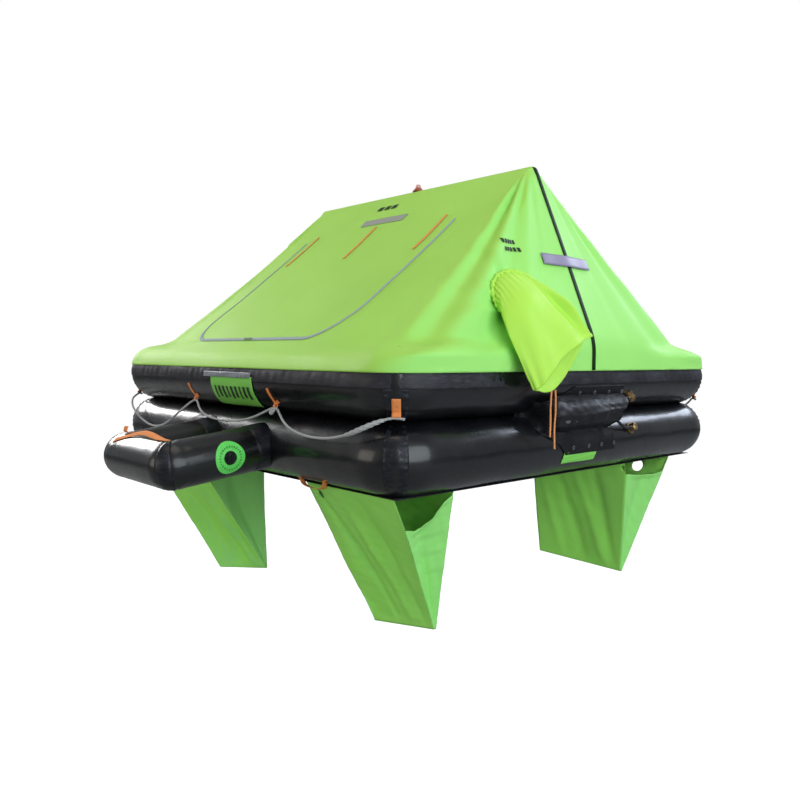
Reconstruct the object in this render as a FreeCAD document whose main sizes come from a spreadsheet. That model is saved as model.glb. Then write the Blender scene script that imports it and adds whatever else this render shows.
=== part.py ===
import FreeCAD, Part
import math
import os
import re

import Sketcher

# Inflated six-person liferaft, in millimetres.
# +Z is up, X runs along the canopy's ridge, the boarding side faces -Y and the gable with the
# lookout sleeve and the gas cylinder's pouch faces +X. The origin is the middle of the floor's
# underside.

V = FreeCAD.Vector
X_AXIS = V(1, 0, 0)
Y_AXIS = V(0, 1, 0)
Z_AXIS = V(0, 0, 1)
ORIGIN = V(0, 0, 0)

doc = FreeCAD.newDocument("liferaft")

# ---------------------------------------------------------------- driving sizes
SIZES = {
    # hull: two stacked buoyancy tubes on a floor sheet
    "raft_length": 2080,
    "raft_width": 2130,
    "tube_dia": 250,
    "corner_bend": 65,
    "seat_gap": 0.3,
    "floor_thick": 2,
    "floor_margin": 40,
    "corner_tape_thick": 1.2,
    "corner_tape_angle": 13,
    # canopy and the arch that holds it up
    "cloth_thick": 3,
    "canopy_gap": 1,
    "canopy_edge_rise": 24,
    "ridge_height": 1275,
    "ridge_half": 735,
    "ridge_drop": 12,
    "kink_height": 534,
    "roof_sag": 30,
    "arch_dia": 90,
    "arch_bend": 60,
    "trim_thick": 1.2,
    "seam_tape_width": 40,
    "skirt_drop": 11,
    # door in the boarding side, closed by a zip on three sides
    "door_half": 530,
    "door_top": 1045,
    "door_bottom": 533,
    "door_corner": 150,
    "zip_slot": 5,
    "zip_width": 16,
    "slider_length": 26,
    "slider_width": 12,
    "slider_height": 6,
    "slider_travel": 300,
    "tie_width": 18,
    "tie_top": 1074,
    "tie_bottom": 908,
    "tie_spacing": 460,
    # lookout sleeve in the gable
    "sleeve_side": 250,
    "sleeve_height": 650,
    "sleeve_dia": 300,
    "sleeve_thick": 3,
    # ridge lamp
    "lamp_place": 20,
    "lamp_dia": 58,
    "lamp_lens_dia": 26,
    "lamp_height": 34,
    # boarding ramp
    "ramp_width": 560,
    "ramp_middle": 60,
    "ramp_dia": 175,
    "ramp_end": 1500,
    "ramp_root_height": 117,
    "ramp_end_height": 77,
    "ramp_floor_thick": 3,
    "collar_width": 45,
    "collar_thick": 1.5,
    # topping-up valve on the ramp
    "valve_place": 1230,
    "ring_dia": 120,
    "flange_dia": 48,
    "flange_thick": 3,
    "barrel_dia": 30,
    "barrel_height": 9,
    "valve_bore": 18,
    "stem_dia": 5,
    "stem_fit": 0.1,
    "stem_lift": 4,
    "cap_wall": 2.5,
    "cap_fit": 0.3,
    # webbing and rope
    "webbing_width": 25,
    "webbing_thick": 2,
    "rope_dia": 9,
    "loop_place": 312,
    "loop_shift": 27,
    "draw_cord_dia": 7,
    # gas cylinder in its pouch
    "bottle_dia": 100,
    "bottle_length": 300,
    "bottle_start": -290,
    "bottle_gap": 1.5,
    "neck_dia": 34,
    "head_width": 44,
    "head_length": 46,
    "inlet_place": 300,
    "inlet_dia": 34,
    "hose_dia": 12,
    "pouch_thick": 3,
    # ballast bags
    "bag_length": 500,
    "bag_depth": 570,
    "bag_bottom_long": 300,
    "bag_bottom_wide": 230,
    "bag_thick": 3,
    "bag_overhang": 30,
    "bag_slant_x": 325,
    "bag_slant_y": 330,
    "bag_scoop": 130,
}

sheet = doc.addObject("Spreadsheet::Sheet", "sizes")
for row, (alias, number) in enumerate(SIZES.items(), start=1):
    sheet.set("A%d" % row, alias)
    sheet.set("B%d" % row, str(number))
    sheet.setAlias("B%d" % row, alias)
doc.recompute()

# Places worked out from the driving sizes, written in the sheet's words.
PLACES = {
    "tube_rad": "tube_dia / 2",
    "line_x": "(raft_length - tube_dia) / 2",
    "line_y": "(raft_width - tube_dia) / 2",
    "lower_level": "floor_thick + seat_gap + tube_dia / 2",
    "upper_level": "floor_thick + 2 * seat_gap + tube_dia * 3 / 2",
    "arch_level": "ridge_height - cloth_thick - canopy_gap - arch_dia / 2",
}
WORD = re.compile(r"[a-z_]+")


def ref(text):
    """Turn plain words into references to the sheet's cells."""
    def swap(match):
        word = match.group(0)
        if word in PLACES:
            return "(" + ref(PLACES[word]) + ")"
        return "sizes." + word if word in SIZES else word
    return WORD.sub(swap, text)


def size(text):
    """Value of an expression of sheet words, in millimetres or degrees."""
    return float(sheet.evalExpression(ref(text)))


# ---------------------------------------------------------------- building helpers
PIECES = []


def keep(piece):
    """Remember a finished piece: its Label names its file."""
    PIECES.append(piece)
    return piece


def new_body(label):
    body = doc.addObject("PartDesign::Body", label)
    body.Label = label
    return keep(body)


def sketch_on(body, role, shift=None):
    """Sketch on one of the body's own origin planes, moved by (u, v, out) expressions."""
    support = [feature for feature in body.Origin.OriginFeatures if feature.Role == role][0]
    sketch = body.newObject("Sketcher::SketchObject", body.Label + "_sketch")
    sketch.AttachmentSupport = [(support, "")]
    sketch.MapMode = "FlatFace"
    for axis, text in zip("xyz", shift or ()):
        sketch.setExpression("AttachmentOffset.Base." + axis, ref(text))
    return sketch


def pin_point(sketch, curve, point, u_text, v_text):
    """Hold one point of a curve at (u, v) expressions from the sketch's origin."""
    for kind, text in (("DistanceX", u_text), ("DistanceY", v_text)):
        rule = sketch.addConstraint(Sketcher.Constraint(kind, -1, 1, curve, point, size(text)))
        sketch.setExpression("Constraints[%d]" % rule, ref(text))


def draw_circle(sketch, u_text, v_text, radius_text):
    centre = V(size(u_text), size(v_text), 0)
    curve = sketch.addGeometry(Part.Circle(centre, Z_AXIS, size(radius_text)), False)
    pin_point(sketch, curve, 3, u_text, v_text)
    rule = sketch.addConstraint(Sketcher.Constraint("Radius", curve, size(radius_text)))
    sketch.setExpression("Constraints[%d]" % rule, ref(radius_text))


def draw_outline(sketch, corners):
    """Closed outline of straight edges through (u, v) expressions."""
    first = sketch.GeometryCount
    count = len(corners)
    spots = [V(size(u), size(v), 0) for u, v in corners]
    for index in range(count):
        edge = Part.LineSegment(spots[index], spots[(index + 1) % count])
        sketch.addGeometry(edge, False)
    for index in range(count):
        after = (index + 1) % count
        sketch.addConstraint(Sketcher.Constraint("Coincident", first + index, 2, first + after, 1))
    for index, (u_text, v_text) in enumerate(corners):
        pin_point(sketch, first + index, 1, u_text, v_text)


def pad(body, sketch, length, reverse=False, both_ways=False):
    feature = body.newObject("PartDesign::Pad", body.Label + "_pad")
    feature.Profile = sketch
    feature.setExpression("Length", ref(length))
    feature.Reversed = reverse
    feature.Midplane = both_ways
    sketch.Visibility = False
    return feature


def turned(label, outline):
    """Body turned about its own Z axis from (radius, height) expressions."""
    body = new_body(label)
    sketch = sketch_on(body, "XZ_Plane")
    draw_outline(sketch, outline)
    turn = body.newObject("PartDesign::Revolution", label + "_turn")
    turn.Profile = sketch
    turn.ReferenceAxis = (sketch, ["V_Axis"])
    turn.Angle = 360
    return body


def feature(label, shape):
    """Piece whose shape is made with Part's own functions."""
    piece = doc.addObject("Part::Feature", label)
    piece.Label = label
    piece.Shape = shape
    return keep(piece)


def box_between(low, high):
    return Part.makeBox(high[0] - low[0], high[1] - low[1], high[2] - low[2], V(*low))


def slab(points, direction):
    """Prism on a closed outline of points, along a vector."""
    return Part.Face(Part.makePolygon(points + points[:1])).extrude(direction)


def buoyancy_tube(label, level):
    """One closed ring of tube: a quarter of it, mirrored twice.

    The corner's bend is tighter than the tube's radius, so its section stops at the bend's axis
    and the straight runs close the inside of the corner with a crease.
    """
    body = new_body(label)
    along_y = sketch_on(body, "XZ_Plane")
    draw_circle(along_y, "line_x", level, "tube_rad")
    pad(body, along_y, "line_y - corner_bend", reverse=True)
    along_x = sketch_on(body, "YZ_Plane")
    draw_circle(along_x, "line_y", level, "tube_rad")
    pad(body, along_x, "line_x - corner_bend")
    corner = sketch_on(body, "XZ_Plane", ("line_x - corner_bend", "0", "corner_bend - line_y"))
    radius = size("tube_rad")
    bend = size("corner_bend")
    height = size(level)
    swing = math.acos(-bend / radius)
    arc = Part.ArcOfCircle(Part.Circle(V(bend, height, 0), Z_AXIS, radius), -swing, swing)
    corner.addGeometry(arc, False)
    reach = radius * math.sin(swing)
    chord = Part.LineSegment(V(0, height + reach, 0), V(0, height - reach, 0))
    corner.addGeometry(chord, False)
    corner.addConstraint(Sketcher.Constraint("Coincident", 0, 2, 1, 1))
    corner.addConstraint(Sketcher.Constraint("Coincident", 1, 2, 0, 1))
    corner.addConstraint(Sketcher.Constraint("PointOnObject", 1, 1, -2))
    corner.addConstraint(Sketcher.Constraint("PointOnObject", 1, 2, -2))
    pin_point(corner, 0, 3, "corner_bend", level)
    rule = corner.addConstraint(Sketcher.Constraint("Radius", 0, radius))
    corner.setExpression("Constraints[%d]" % rule, ref("tube_rad"))
    turn = body.newObject("PartDesign::Revolution", label + "_corner")
    turn.Profile = corner
    turn.ReferenceAxis = (corner, ["V_Axis"])
    turn.Angle = 90
    for role in ("XZ_Plane", "YZ_Plane"):
        mirror = body.newObject("PartDesign::Mirrored", label + "_mirror")
        mirror.TransformMode = "Whole shape"
        plane = [item for item in body.Origin.OriginFeatures if item.Role == role][0]
        mirror.MirrorPlane = (plane, [""])
        body.Tip = mirror
    return body


def corner_places():
    """(x, y, start angle) of the four corner bends."""
    reach_x = size("line_x - corner_bend")
    reach_y = size("line_y - corner_bend")
    return [(reach_x, -reach_y, -90), (reach_x, reach_y, 0), (-reach_x, reach_y, 90), (-reach_x, -reach_y, 180)]


def corner_tapes(label, level, top):
    """Sealing tapes over the mitre seam on the outside of each corner, one solid each."""
    bend = size("corner_bend")
    inner = size("tube_rad + seat_gap")
    angle = size("corner_tape_angle")
    low = size(level) - size("tube_rad") + 1
    section = ring_section((bend, size(level)), inner, inner + size("corner_tape_thick"), low, size(top))
    tapes = []
    for x, y, start in corner_places():
        tape = section.revolve(ORIGIN, Z_AXIS, angle)
        tape.rotate(ORIGIN, Z_AXIS, start + 45 - angle / 2)
        tape.translate(V(x, y, 0))
        tapes.extend(tape.Solids)
    return feature(label, Part.makeCompound(tapes))


def tube_solid(level, grow):
    """Copy of a buoyancy tube grown by a clearance, for cutting what seats on it."""
    radius = size("tube_rad") + grow
    bend = size("corner_bend")
    reach_x = size("line_x")
    reach_y = size("line_y")
    height = size(level)
    parts = []
    for side in (-1, 1):
        start = V(side * reach_x, -reach_y + bend, height)
        parts.append(Part.makeCylinder(radius, 2 * (reach_y - bend), start, Y_AXIS))
        start = V(-reach_x + bend, side * reach_y, height)
        parts.append(Part.makeCylinder(radius, 2 * (reach_x - bend), start, X_AXIS))
    disc = Part.Face(Part.Wire(Part.makeCircle(radius, V(bend, 0, height), Y_AXIS)))
    disc = disc.common(box_between((0, -1, height - 2 * radius), (bend + radius, 1, height + 2 * radius)))
    for x, y, start in corner_places():
        corner = disc.revolve(ORIGIN, Z_AXIS, 90)
        corner.rotate(ORIGIN, Z_AXIS, start)
        corner.translate(V(x, y, 0))
        parts.append(corner)
    return parts[0].multiFuse(parts[1:])


def floor():
    """Floor sheet bonded under the lower tube."""
    body = new_body("floor_sheet")
    sketch = sketch_on(body, "XY_Plane")
    half_x = "line_x + floor_margin"
    half_y = "line_y + floor_margin"
    draw_outline(sketch, [
        ("-(%s)" % half_x, "-(%s)" % half_y), (half_x, "-(%s)" % half_y),
        (half_x, half_y), ("-(%s)" % half_x, half_y)])
    base = pad(body, sketch, "floor_thick")
    doc.recompute()
    upright = []
    for index, edge in enumerate(base.Shape.Edges, start=1):
        if abs(edge.tangentAt(edge.FirstParameter).z) > 0.9:
            upright.append("Edge%d" % index)
    rounding = body.newObject("PartDesign::Fillet", "floor_corners")
    rounding.Base = (base, upright)
    rounding.setExpression("Radius", ref("corner_bend + floor_margin"))
    return body


# ---------------------------------------------------------------- canopy surface
def roof_line(offset):
    """Centres, radii and common tangent of the upper tube and the arch, in the (Y, Z) plane."""
    low_radius = size("tube_rad + canopy_gap") + offset
    high_radius = size("arch_dia / 2 + canopy_gap") + offset
    low = V(size("line_y"), size("upper_level"), 0)
    high = V(0, size("arch_level"), 0)
    along = high - low
    span = along.Length
    along.normalize()
    across = V(along.y, -along.x, 0)
    lean = (low_radius - high_radius) / span
    normal = along * lean + across * math.sqrt(1 - lean * lean)
    return low, low_radius, high, high_radius, low + normal * low_radius, high + normal * high_radius


def roof_half(height, offset):
    """Half of the canopy's width across Y at a height."""
    low, low_radius, high, high_radius, leave, meet = roof_line(offset)
    if height <= leave.y:
        return low.x + math.sqrt(low_radius ** 2 - (height - low.y) ** 2)
    if height >= meet.y:
        return math.sqrt(high_radius ** 2 - (height - high.y) ** 2)
    share = (height - leave.y) / (meet.y - leave.y)
    return leave.x + (meet.x - leave.x) * share - 4 * size("roof_sag") * share * (1 - share)


def gable_half(height, offset):
    """Half of the canopy's length along X at a height: upright to the kink, then leaning in."""
    kink = size("kink_height")
    turn_in = size("ridge_height - ridge_drop")
    foot = size("raft_length / 2 + 2 * canopy_gap") + offset
    head = size("ridge_half") + offset
    if height <= kink:
        return foot
    if height <= turn_in:
        return foot + (head - foot) * (height - kink) / (turn_in - kink)
    return head - (height - turn_in)


def fold_radius(height, offset):
    """Radius of the soft fold between roof and gable at a height."""
    low, low_radius, high, high_radius, leave, meet = roof_line(offset)
    bend = size("corner_bend")
    if height <= leave.y:
        return bend + math.sqrt(low_radius ** 2 - (height - low.y) ** 2)
    start = bend + math.sqrt(low_radius ** 2 - (leave.y - low.y) ** 2)
    share = min(1, (height - leave.y) / (meet.y - leave.y))
    return min(start + (high_radius - start) * share, roof_half(height, offset) - 3)


def rounded_rectangle(half_x, half_y, radius, height):
    """Closed wire of four straights and four quarter arcs."""
    x = half_x - radius
    y = half_y - radius
    edges = []
    for sign_x, sign_y, start in ((1, 1, 0), (-1, 1, 90), (-1, -1, 180), (1, -1, 270)):
        centre = V(sign_x * x, sign_y * y, height)
        edges.append(Part.makeCircle(radius, centre, Z_AXIS, start, start + 90))
    wire = []
    for index, arc in enumerate(edges):
        after = edges[(index + 1) % 4]
        wire.append(arc)
        wire.append(Part.makeLine(arc.Vertexes[-1].Point, after.Vertexes[0].Point))
    return Part.Wire(wire)


WRAP_STEPS = 3
RIDGE_STEPS = 2
ROOF_LEVELS = (0.25, 0.5, 0.75)


def canopy_levels(offset):
    """Heights of the canopy's sections, from its edge on the tube to the top of the ridge."""
    low, low_radius, high, high_radius, leave, meet = roof_line(0)
    edge_angle = math.asin(size("canopy_edge_rise") / low_radius)
    leave_angle = math.asin((leave.y - low.y) / low_radius)
    levels = []
    for step in range(WRAP_STEPS + 1):
        angle = edge_angle + (leave_angle - edge_angle) * step / WRAP_STEPS
        levels.append(low.y + low_radius * math.sin(angle))
    kink = size("kink_height")
    levels.append(kink)
    turn_in = size("ridge_height - ridge_drop")
    levels.extend(kink + (turn_in - kink) * share for share in ROOF_LEVELS)
    start = math.asin((turn_in - high.y) / high_radius)
    end = math.asin(1 - 0.5 / high_radius)
    for step in range(RIDGE_STEPS + 1):
        angle = start + (end - start) * step / RIDGE_STEPS
        levels.append(high.y + (high_radius + offset * step / RIDGE_STEPS) * math.sin(angle))
    return levels


def canopy_solid(offset):
    """The space under the canopy, out to an offset from the cloth's inner surface."""
    sections = []
    for height in canopy_levels(offset):
        sections.append(rounded_rectangle(
            gable_half(height, offset), roof_half(height, offset), fold_radius(height, offset), height))
    return Part.makeLoft(sections, True, True)


def canopy_layer(start, end):
    """Skin between two offsets from the cloth's inner surface, open at its lower edge."""
    inner = canopy_solid(start)
    floor_face = min(inner.Faces, key=lambda face: face.CenterOfMass.z)
    below = floor_face.extrude(V(0, 0, -5))
    return canopy_solid(end).cut(inner.fuse(below))


def door_prism(margin, top):
    """Prism along Y of the door's outline, grown by a margin, with round lower corners."""
    half = size("door_half") + margin
    bottom = size("door_bottom") - margin
    radius = size("door_corner") + margin
    start = -size("raft_width")
    left = V(-half, start, bottom)
    outline = [
        Part.makeLine(V(half, start, top), V(-half, start, top)),
        Part.makeLine(V(-half, start, top), left + V(0, 0, radius)),
        Part.Arc(left + V(0, 0, radius), left + V(radius, 0, radius) + V(-1, 0, -1) * (radius / math.sqrt(2)),
                 left + V(radius, 0, 0)).toShape(),
        Part.makeLine(left + V(radius, 0, 0), V(half - radius, start, bottom)),
        Part.Arc(V(half - radius, start, bottom),
                 V(half - radius, start, bottom + radius) + V(1, 0, -1) * (radius / math.sqrt(2)),
                 V(half, start, bottom + radius)).toShape(),
        Part.makeLine(V(half, start, bottom + radius), V(half, start, top)),
    ]
    return Part.Face(Part.Wire(outline)).extrude(V(0, -start, 0))


def door_strip(width):
    """U-shaped strip along the door's two sides and foot."""
    top = size("door_top")
    return door_prism(width / 2, top).cut(door_prism(-width / 2, top + 50))


def canopy_pieces():
    thick = size("cloth_thick")
    trim = size("trim_thick")
    gap = size("seat_gap")
    far = size("raft_length")
    high = size("ridge_height") + 50
    cloth = canopy_layer(0, thick)
    first_trim = canopy_layer(thick + gap, thick + gap + trim)
    second_trim = canopy_layer(thick + 2 * gap + trim, thick + 2 * gap + 2 * trim)
    boarding_half = box_between((-far, -far, 0), (far, -gap / 2, high))
    far_half = box_between((-far, gap / 2, 0), (far, far, high))
    port = Part.makeCylinder(
        size("sleeve_dia / 2"), far, V(0, -size("sleeve_side"), size("sleeve_height")), X_AXIS)
    boarding = cloth.common(boarding_half).cut(door_strip(size("zip_slot"))).cut(port)
    feature("canopy_boarding_side", boarding)
    feature("canopy_far_side", cloth.common(far_half))
    feature("door_zip", first_trim.common(door_strip(size("zip_width"))))
    tie_low = size("tie_bottom")
    tie_high = size("tie_top")
    half_tie = size("tie_width / 2")
    for name, step in (("door_tie_left", -1), ("door_tie_middle", 0), ("door_tie_right", 1)):
        middle = step * size("tie_spacing")
        strip = box_between((middle - half_tie, -far, tie_low), (middle + half_tie, 0, tie_high))
        feature(name, first_trim.common(strip))
    strip = box_between((-155, -far, 1086), (155, 0, 1128))
    feature("capacity_strip", first_trim.common(strip))
    half_tape = size("seam_tape_width / 2")
    ends = (("gable_seam_tape_front", "gable_reflector_front", 1), ("gable_seam_tape_rear", "gable_reflector_rear", -1))
    for seam_name, reflector_name, side in ends:
        reach = sorted((side * (size("ridge_half") - 45), side * far))
        seam = box_between((reach[0], -half_tape, 0), (reach[1], half_tape, high))
        feature(seam_name, first_trim.common(seam))
        band = box_between((reach[0], -130, 842), (reach[1], 174, 888))
        feature(reflector_name, second_trim.common(band))


def roof_slope(height, offset):
    """Directions up the boarding-side roof and out of it, at a height."""
    step = size("slider_width / 2")
    lower = roof_half(height - step, offset)
    upper = roof_half(height + step, offset)
    up = V(0, lower - upper, 2 * step)
    up.normalize()
    return up, V(0, -up.z, up.y)


def zip_slider(label, side):
    """Slider that rides on the zip's lower run; the two meet in the middle."""
    body = new_body(label)
    sketch = sketch_on(body, "XY_Plane")
    draw_outline(sketch, [
        ("-slider_length / 2", "-slider_width / 4"), ("slider_length / 6", "-slider_width / 2"),
        ("slider_length / 2", "-slider_width / 2"), ("slider_length / 2", "slider_width / 2"),
        ("slider_length / 6", "slider_width / 2"), ("-slider_length / 2", "slider_width / 4")])
    pad(body, sketch, "slider_height")
    bridge = sketch_on(body, "XZ_Plane")
    draw_outline(bridge, [
        ("-slider_length / 3", "slider_height - 1"), ("slider_length / 3", "slider_height - 1"),
        ("slider_length / 5", "slider_height + 3"), ("-slider_length / 5", "slider_height + 3")])
    pad(body, bridge, "slider_width / 3", both_ways=True)
    height = size("door_bottom")
    offset = size("cloth_thick + 3 * seat_gap + trim_thick")
    up, out = roof_slope(height, offset)
    middle = V(side * size("slider_length / 2 + seat_gap"), -roof_half(height, offset), height)
    turn = FreeCAD.Rotation(X_AXIS * side, up * side, out, "XYZ")
    body.Placement = FreeCAD.Placement(middle + out * size("seat_gap"), turn)
    return body


def tube_path(points, bends):
    """Wire of straight runs joined by tangent arcs of the given radii."""
    edges = []
    start = points[0]
    for index in range(1, len(points) - 1):
        corner = points[index]
        arrive = (corner - points[index - 1]).normalize()
        depart = (points[index + 1] - corner).normalize()
        turn = arrive.getAngle(depart)
        cut = bends[index - 1] * math.tan(turn / 2)
        into = corner - arrive * cut
        away = corner + depart * cut
        inward = (depart - arrive).normalize()
        middle = corner + inward * (bends[index - 1] * (1 / math.cos(turn / 2) - 1))
        edges.append(Part.makeLine(start, into))
        edges.append(Part.Arc(into, middle, away).toShape())
        start = away
    edges.append(Part.makeLine(start, points[-1]))
    return Part.Wire(edges)


def swept_round(path, radius):
    start = path.Edges[0]
    disc = Part.makeCircle(radius, start.Vertexes[0].Point, start.tangentAt(start.FirstParameter))
    return path.makePipeShell([Part.Wire(disc)], True, False)


def arch():
    """Inflated arch: two legs off the upper tube and the ridge between them."""
    radius = size("arch_dia / 2")
    kink = size("kink_height")
    level = size("arch_level")
    turn_in = size("ridge_height - ridge_drop")
    run = gable_half(kink, 0) - gable_half(turn_in, 0)
    lean = math.atan2(run, turn_in - kink)
    back = (radius + size("canopy_gap")) / math.cos(lean)
    knee = gable_half(kink, 0) - back
    shoulder = gable_half(level, 0) - back
    foot = size("upper_level") + 40
    points = [
        V(-knee, 0, foot), V(-knee, 0, kink), V(-shoulder, 0, level),
        V(shoulder, 0, level), V(knee, 0, kink), V(knee, 0, foot)]
    path = tube_path(points, [150, size("arch_bend"), size("arch_bend"), 150])
    shape = swept_round(path, radius).cut(tube_solid("upper_level", size("seat_gap")))
    solids = sorted(shape.Solids, key=lambda solid: solid.Volume)
    feature("canopy_arch", solids[-1])


# ---------------------------------------------------------------- things fixed to a tube
def ring_section(centre, inner, outer, low, high):
    """Piece of a flat ring about (centre, level) in the XZ plane, between two heights."""
    x, z = centre
    ring = Part.Face(Part.Wire(Part.makeCircle(outer, V(x, 0, z), Y_AXIS)))
    ring = ring.cut(Part.Face(Part.Wire(Part.makeCircle(inner, V(x, 0, z), Y_AXIS))))
    return ring.common(box_between((x, -1, low), (x + outer + 1, 1, high)))


TURN = {"gable": 0, "far": 90, "rear": 180, "boarding": -90}


def onto_tube(shape, side):
    """Move a shape drawn at the origin (+X outward, +Y along) onto one side's tube line."""
    reach = size("line_x") if side in ("gable", "rear") else size("line_y")
    moved = shape.copy()
    moved.translate(V(reach, 0, 0))
    moved.rotate(ORIGIN, Z_AXIS, TURN[side])
    return moved


def tube_patch(level, offset, thick, start, end, low, high):
    """Cloth patch on a tube, drawn at the origin, from start to end along it."""
    inner = size("tube_rad") + offset
    section = ring_section((0, size(level)), inner, inner + thick, low, high)
    patch = section.extrude(V(0, end - start, 0))
    patch.translate(V(0, start, 0))
    return patch


def skirt():
    """Attachment band that runs round the upper tube under the canopy's edge."""
    inner = size("tube_rad + seat_gap")
    low = size("upper_level - skirt_drop")
    high = size("upper_level + canopy_edge_rise") - 1
    section = ring_section((0, size("upper_level")), inner, inner + 1.5, low, high)
    bend = size("corner_bend")
    parts = []
    for side, reach in (("gable", "line_y"), ("far", "line_x"), ("rear", "line_y"), ("boarding", "line_x")):
        half = size(reach) - bend
        run = section.extrude(V(0, 2 * half, 0))
        run.translate(V(0, -half, 0))
        parts.append(onto_tube(run, side))
    for x, y, start in corner_places():
        corner = section.copy()
        corner.translate(V(bend, 0, 0))
        corner = corner.revolve(ORIGIN, Z_AXIS, 90)
        corner.rotate(ORIGIN, Z_AXIS, start)
        corner.translate(V(x, y, 0))
        parts.append(corner)
    feature("canopy_skirt_band", parts[0].multiFuse(parts[1:]))


def rope_loop():
    """Webbing loop drawn at the origin: a tab on the upper tube and an eye for the rope."""
    half = size("webbing_width / 2")
    thick = size("webbing_thick")
    level = size("upper_level")
    tab_low = level - 88
    tab = tube_patch("upper_level", size("seat_gap"), thick, -half, half, tab_low, level - 32)
    reach = size("tube_rad + seat_gap") + thick / 2
    drop = tab_low - level
    hang = V(math.sqrt(reach ** 2 - drop ** 2), 0, tab_low)
    hole = size("rope_dia") + 3
    outward = V(0.55, 0, -0.83)
    eye = hang + outward * (hole + thick / 2)
    narrow = 4
    ring = Part.makeCylinder(hole + thick, 2 * narrow, eye - V(0, narrow, 0), Y_AXIS)
    ring = ring.cut(Part.makeCylinder(hole, 2 * narrow, eye - V(0, narrow, 0), Y_AXIS))
    return tab.fuse(ring), eye


def rope_loops():
    """Loops on the boarding and far sides: one at each corner and two between."""
    loop, eye = rope_loop()
    bend = size("corner_bend")
    places = corner_places()
    for label, side, corners in (("rope_loops_boarding", "boarding", (0, 3)), ("rope_loops_far", "far", (1, 2))):
        shift = size("loop_shift")
        group = []
        for along in (-size("loop_place") + shift, size("loop_place") + shift):
            middle = loop.copy()
            middle.translate(V(0, along if side == "boarding" else -along, 0))
            group.append(onto_tube(middle, side))
        for index in corners:
            x, y, start = places[index]
            corner = loop.copy()
            corner.translate(V(bend + 2 * size("corner_tape_thick"), 0, 0))
            corner.rotate(ORIGIN, Z_AXIS, start + 45)
            corner.translate(V(x, y, 0))
            group.append(corner)
        feature(label, Part.makeCompound([solid for item in group for solid in item.Solids]))


def labels():
    """Sheet labels glued to the tubes: left plain or with simple marks."""
    gap = size("seat_gap")
    boarding = tube_patch("upper_level", gap, 1, -100, 222, 272, size("upper_level - skirt_drop") - 1)
    feature("boarding_label", onto_tube(boarding, "boarding"))
    clear = tube_patch("upper_level", 2 * gap + 1.5, 0.8, -150, 216, size("upper_level - skirt_drop"), 392)
    feature("label_tape", onto_tube(clear, "boarding"))
    tab = tube_patch("lower_level", gap, 1, -180, 45, 58, 102)
    feature("pouch_label", onto_tube(tab, "gable"))


# ---------------------------------------------------------------- boarding ramp
def ramp_placement():
    """The ramp's own frame: origin at its root, -Y out along its arms, tilted down."""
    run = size("ramp_end - ramp_dia / 2 - raft_width / 2")
    drop = size("ramp_root_height - ramp_end_height")
    tilt = FreeCAD.Rotation(X_AXIS, math.degrees(math.atan2(drop, run)))
    root = V(size("ramp_middle"), -size("raft_width / 2"), size("ramp_root_height"))
    return FreeCAD.Placement(root, tilt), math.hypot(run, drop)


def in_ramp(shape):
    moved = shape.copy()
    moved.Placement = ramp_placement()[0].multiply(moved.Placement)
    return moved


def ramp_frame_solid(grow):
    """U of three tube runs, drawn in the ramp's own frame."""
    reach = ramp_placement()[1]
    radius = size("ramp_dia / 2") + grow
    half = size("(ramp_width - ramp_dia) / 2")
    parts = [Part.makeCylinder(radius, 2 * half, V(-half, -reach, 0), X_AXIS)]
    for side in (-1, 1):
        inside = size("tube_rad")
        parts.append(Part.makeCylinder(radius, reach + inside, V(side * half, -reach, 0), Y_AXIS))
        parts.append(Part.makeSphere(radius, V(side * half, -reach, 0)))
    return parts[0].multiFuse(parts[1:])


def ramp():
    gap = size("seat_gap")
    radius = size("ramp_dia / 2")
    half = size("(ramp_width - ramp_dia) / 2")
    reach = ramp_placement()[1]
    hull = tube_solid("lower_level", gap)
    pocket = Part.makeCylinder(
        size("barrel_dia / 2 + cap_fit"), 20, V(half + radius - 18, valve_run(), 0), X_AXIS)
    feature("ramp_tube", in_ramp(ramp_frame_solid(0).cut(pocket)).cut(hull))
    wall = size("collar_thick")
    for label, side in (("ramp_collar_left", -1), ("ramp_collar_right", 1)):
        start = V(side * half, -size("collar_width"), 0)
        length = size("collar_width + tube_rad")
        collar = Part.makeCylinder(radius + gap + wall, length, start, Y_AXIS)
        collar = in_ramp(collar.cut(Part.makeCylinder(radius + gap, length, start, Y_AXIS)))
        pieces = collar.cut(hull).Solids
        feature(label, max(pieces, key=lambda solid: solid.Volume))
    thick = size("ramp_floor_thick")
    sheet_half = half - size("ramp_dia / 4")
    web = box_between((-sheet_half, -reach, -radius / 2), (sheet_half, 60, -radius / 2 + thick))
    web = in_ramp(web.cut(ramp_frame_solid(2 * gap + wall))).cut(hull)
    feature("ramp_floor", max(web.Solids, key=lambda solid: solid.Volume))


def valve_run():
    """Distance of the valve from the ramp's root, along the arm (negative is outward)."""
    tilt = ramp_placement()[0].Rotation.Angle
    return -size("valve_place - raft_width / 2") / math.cos(tilt)


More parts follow.
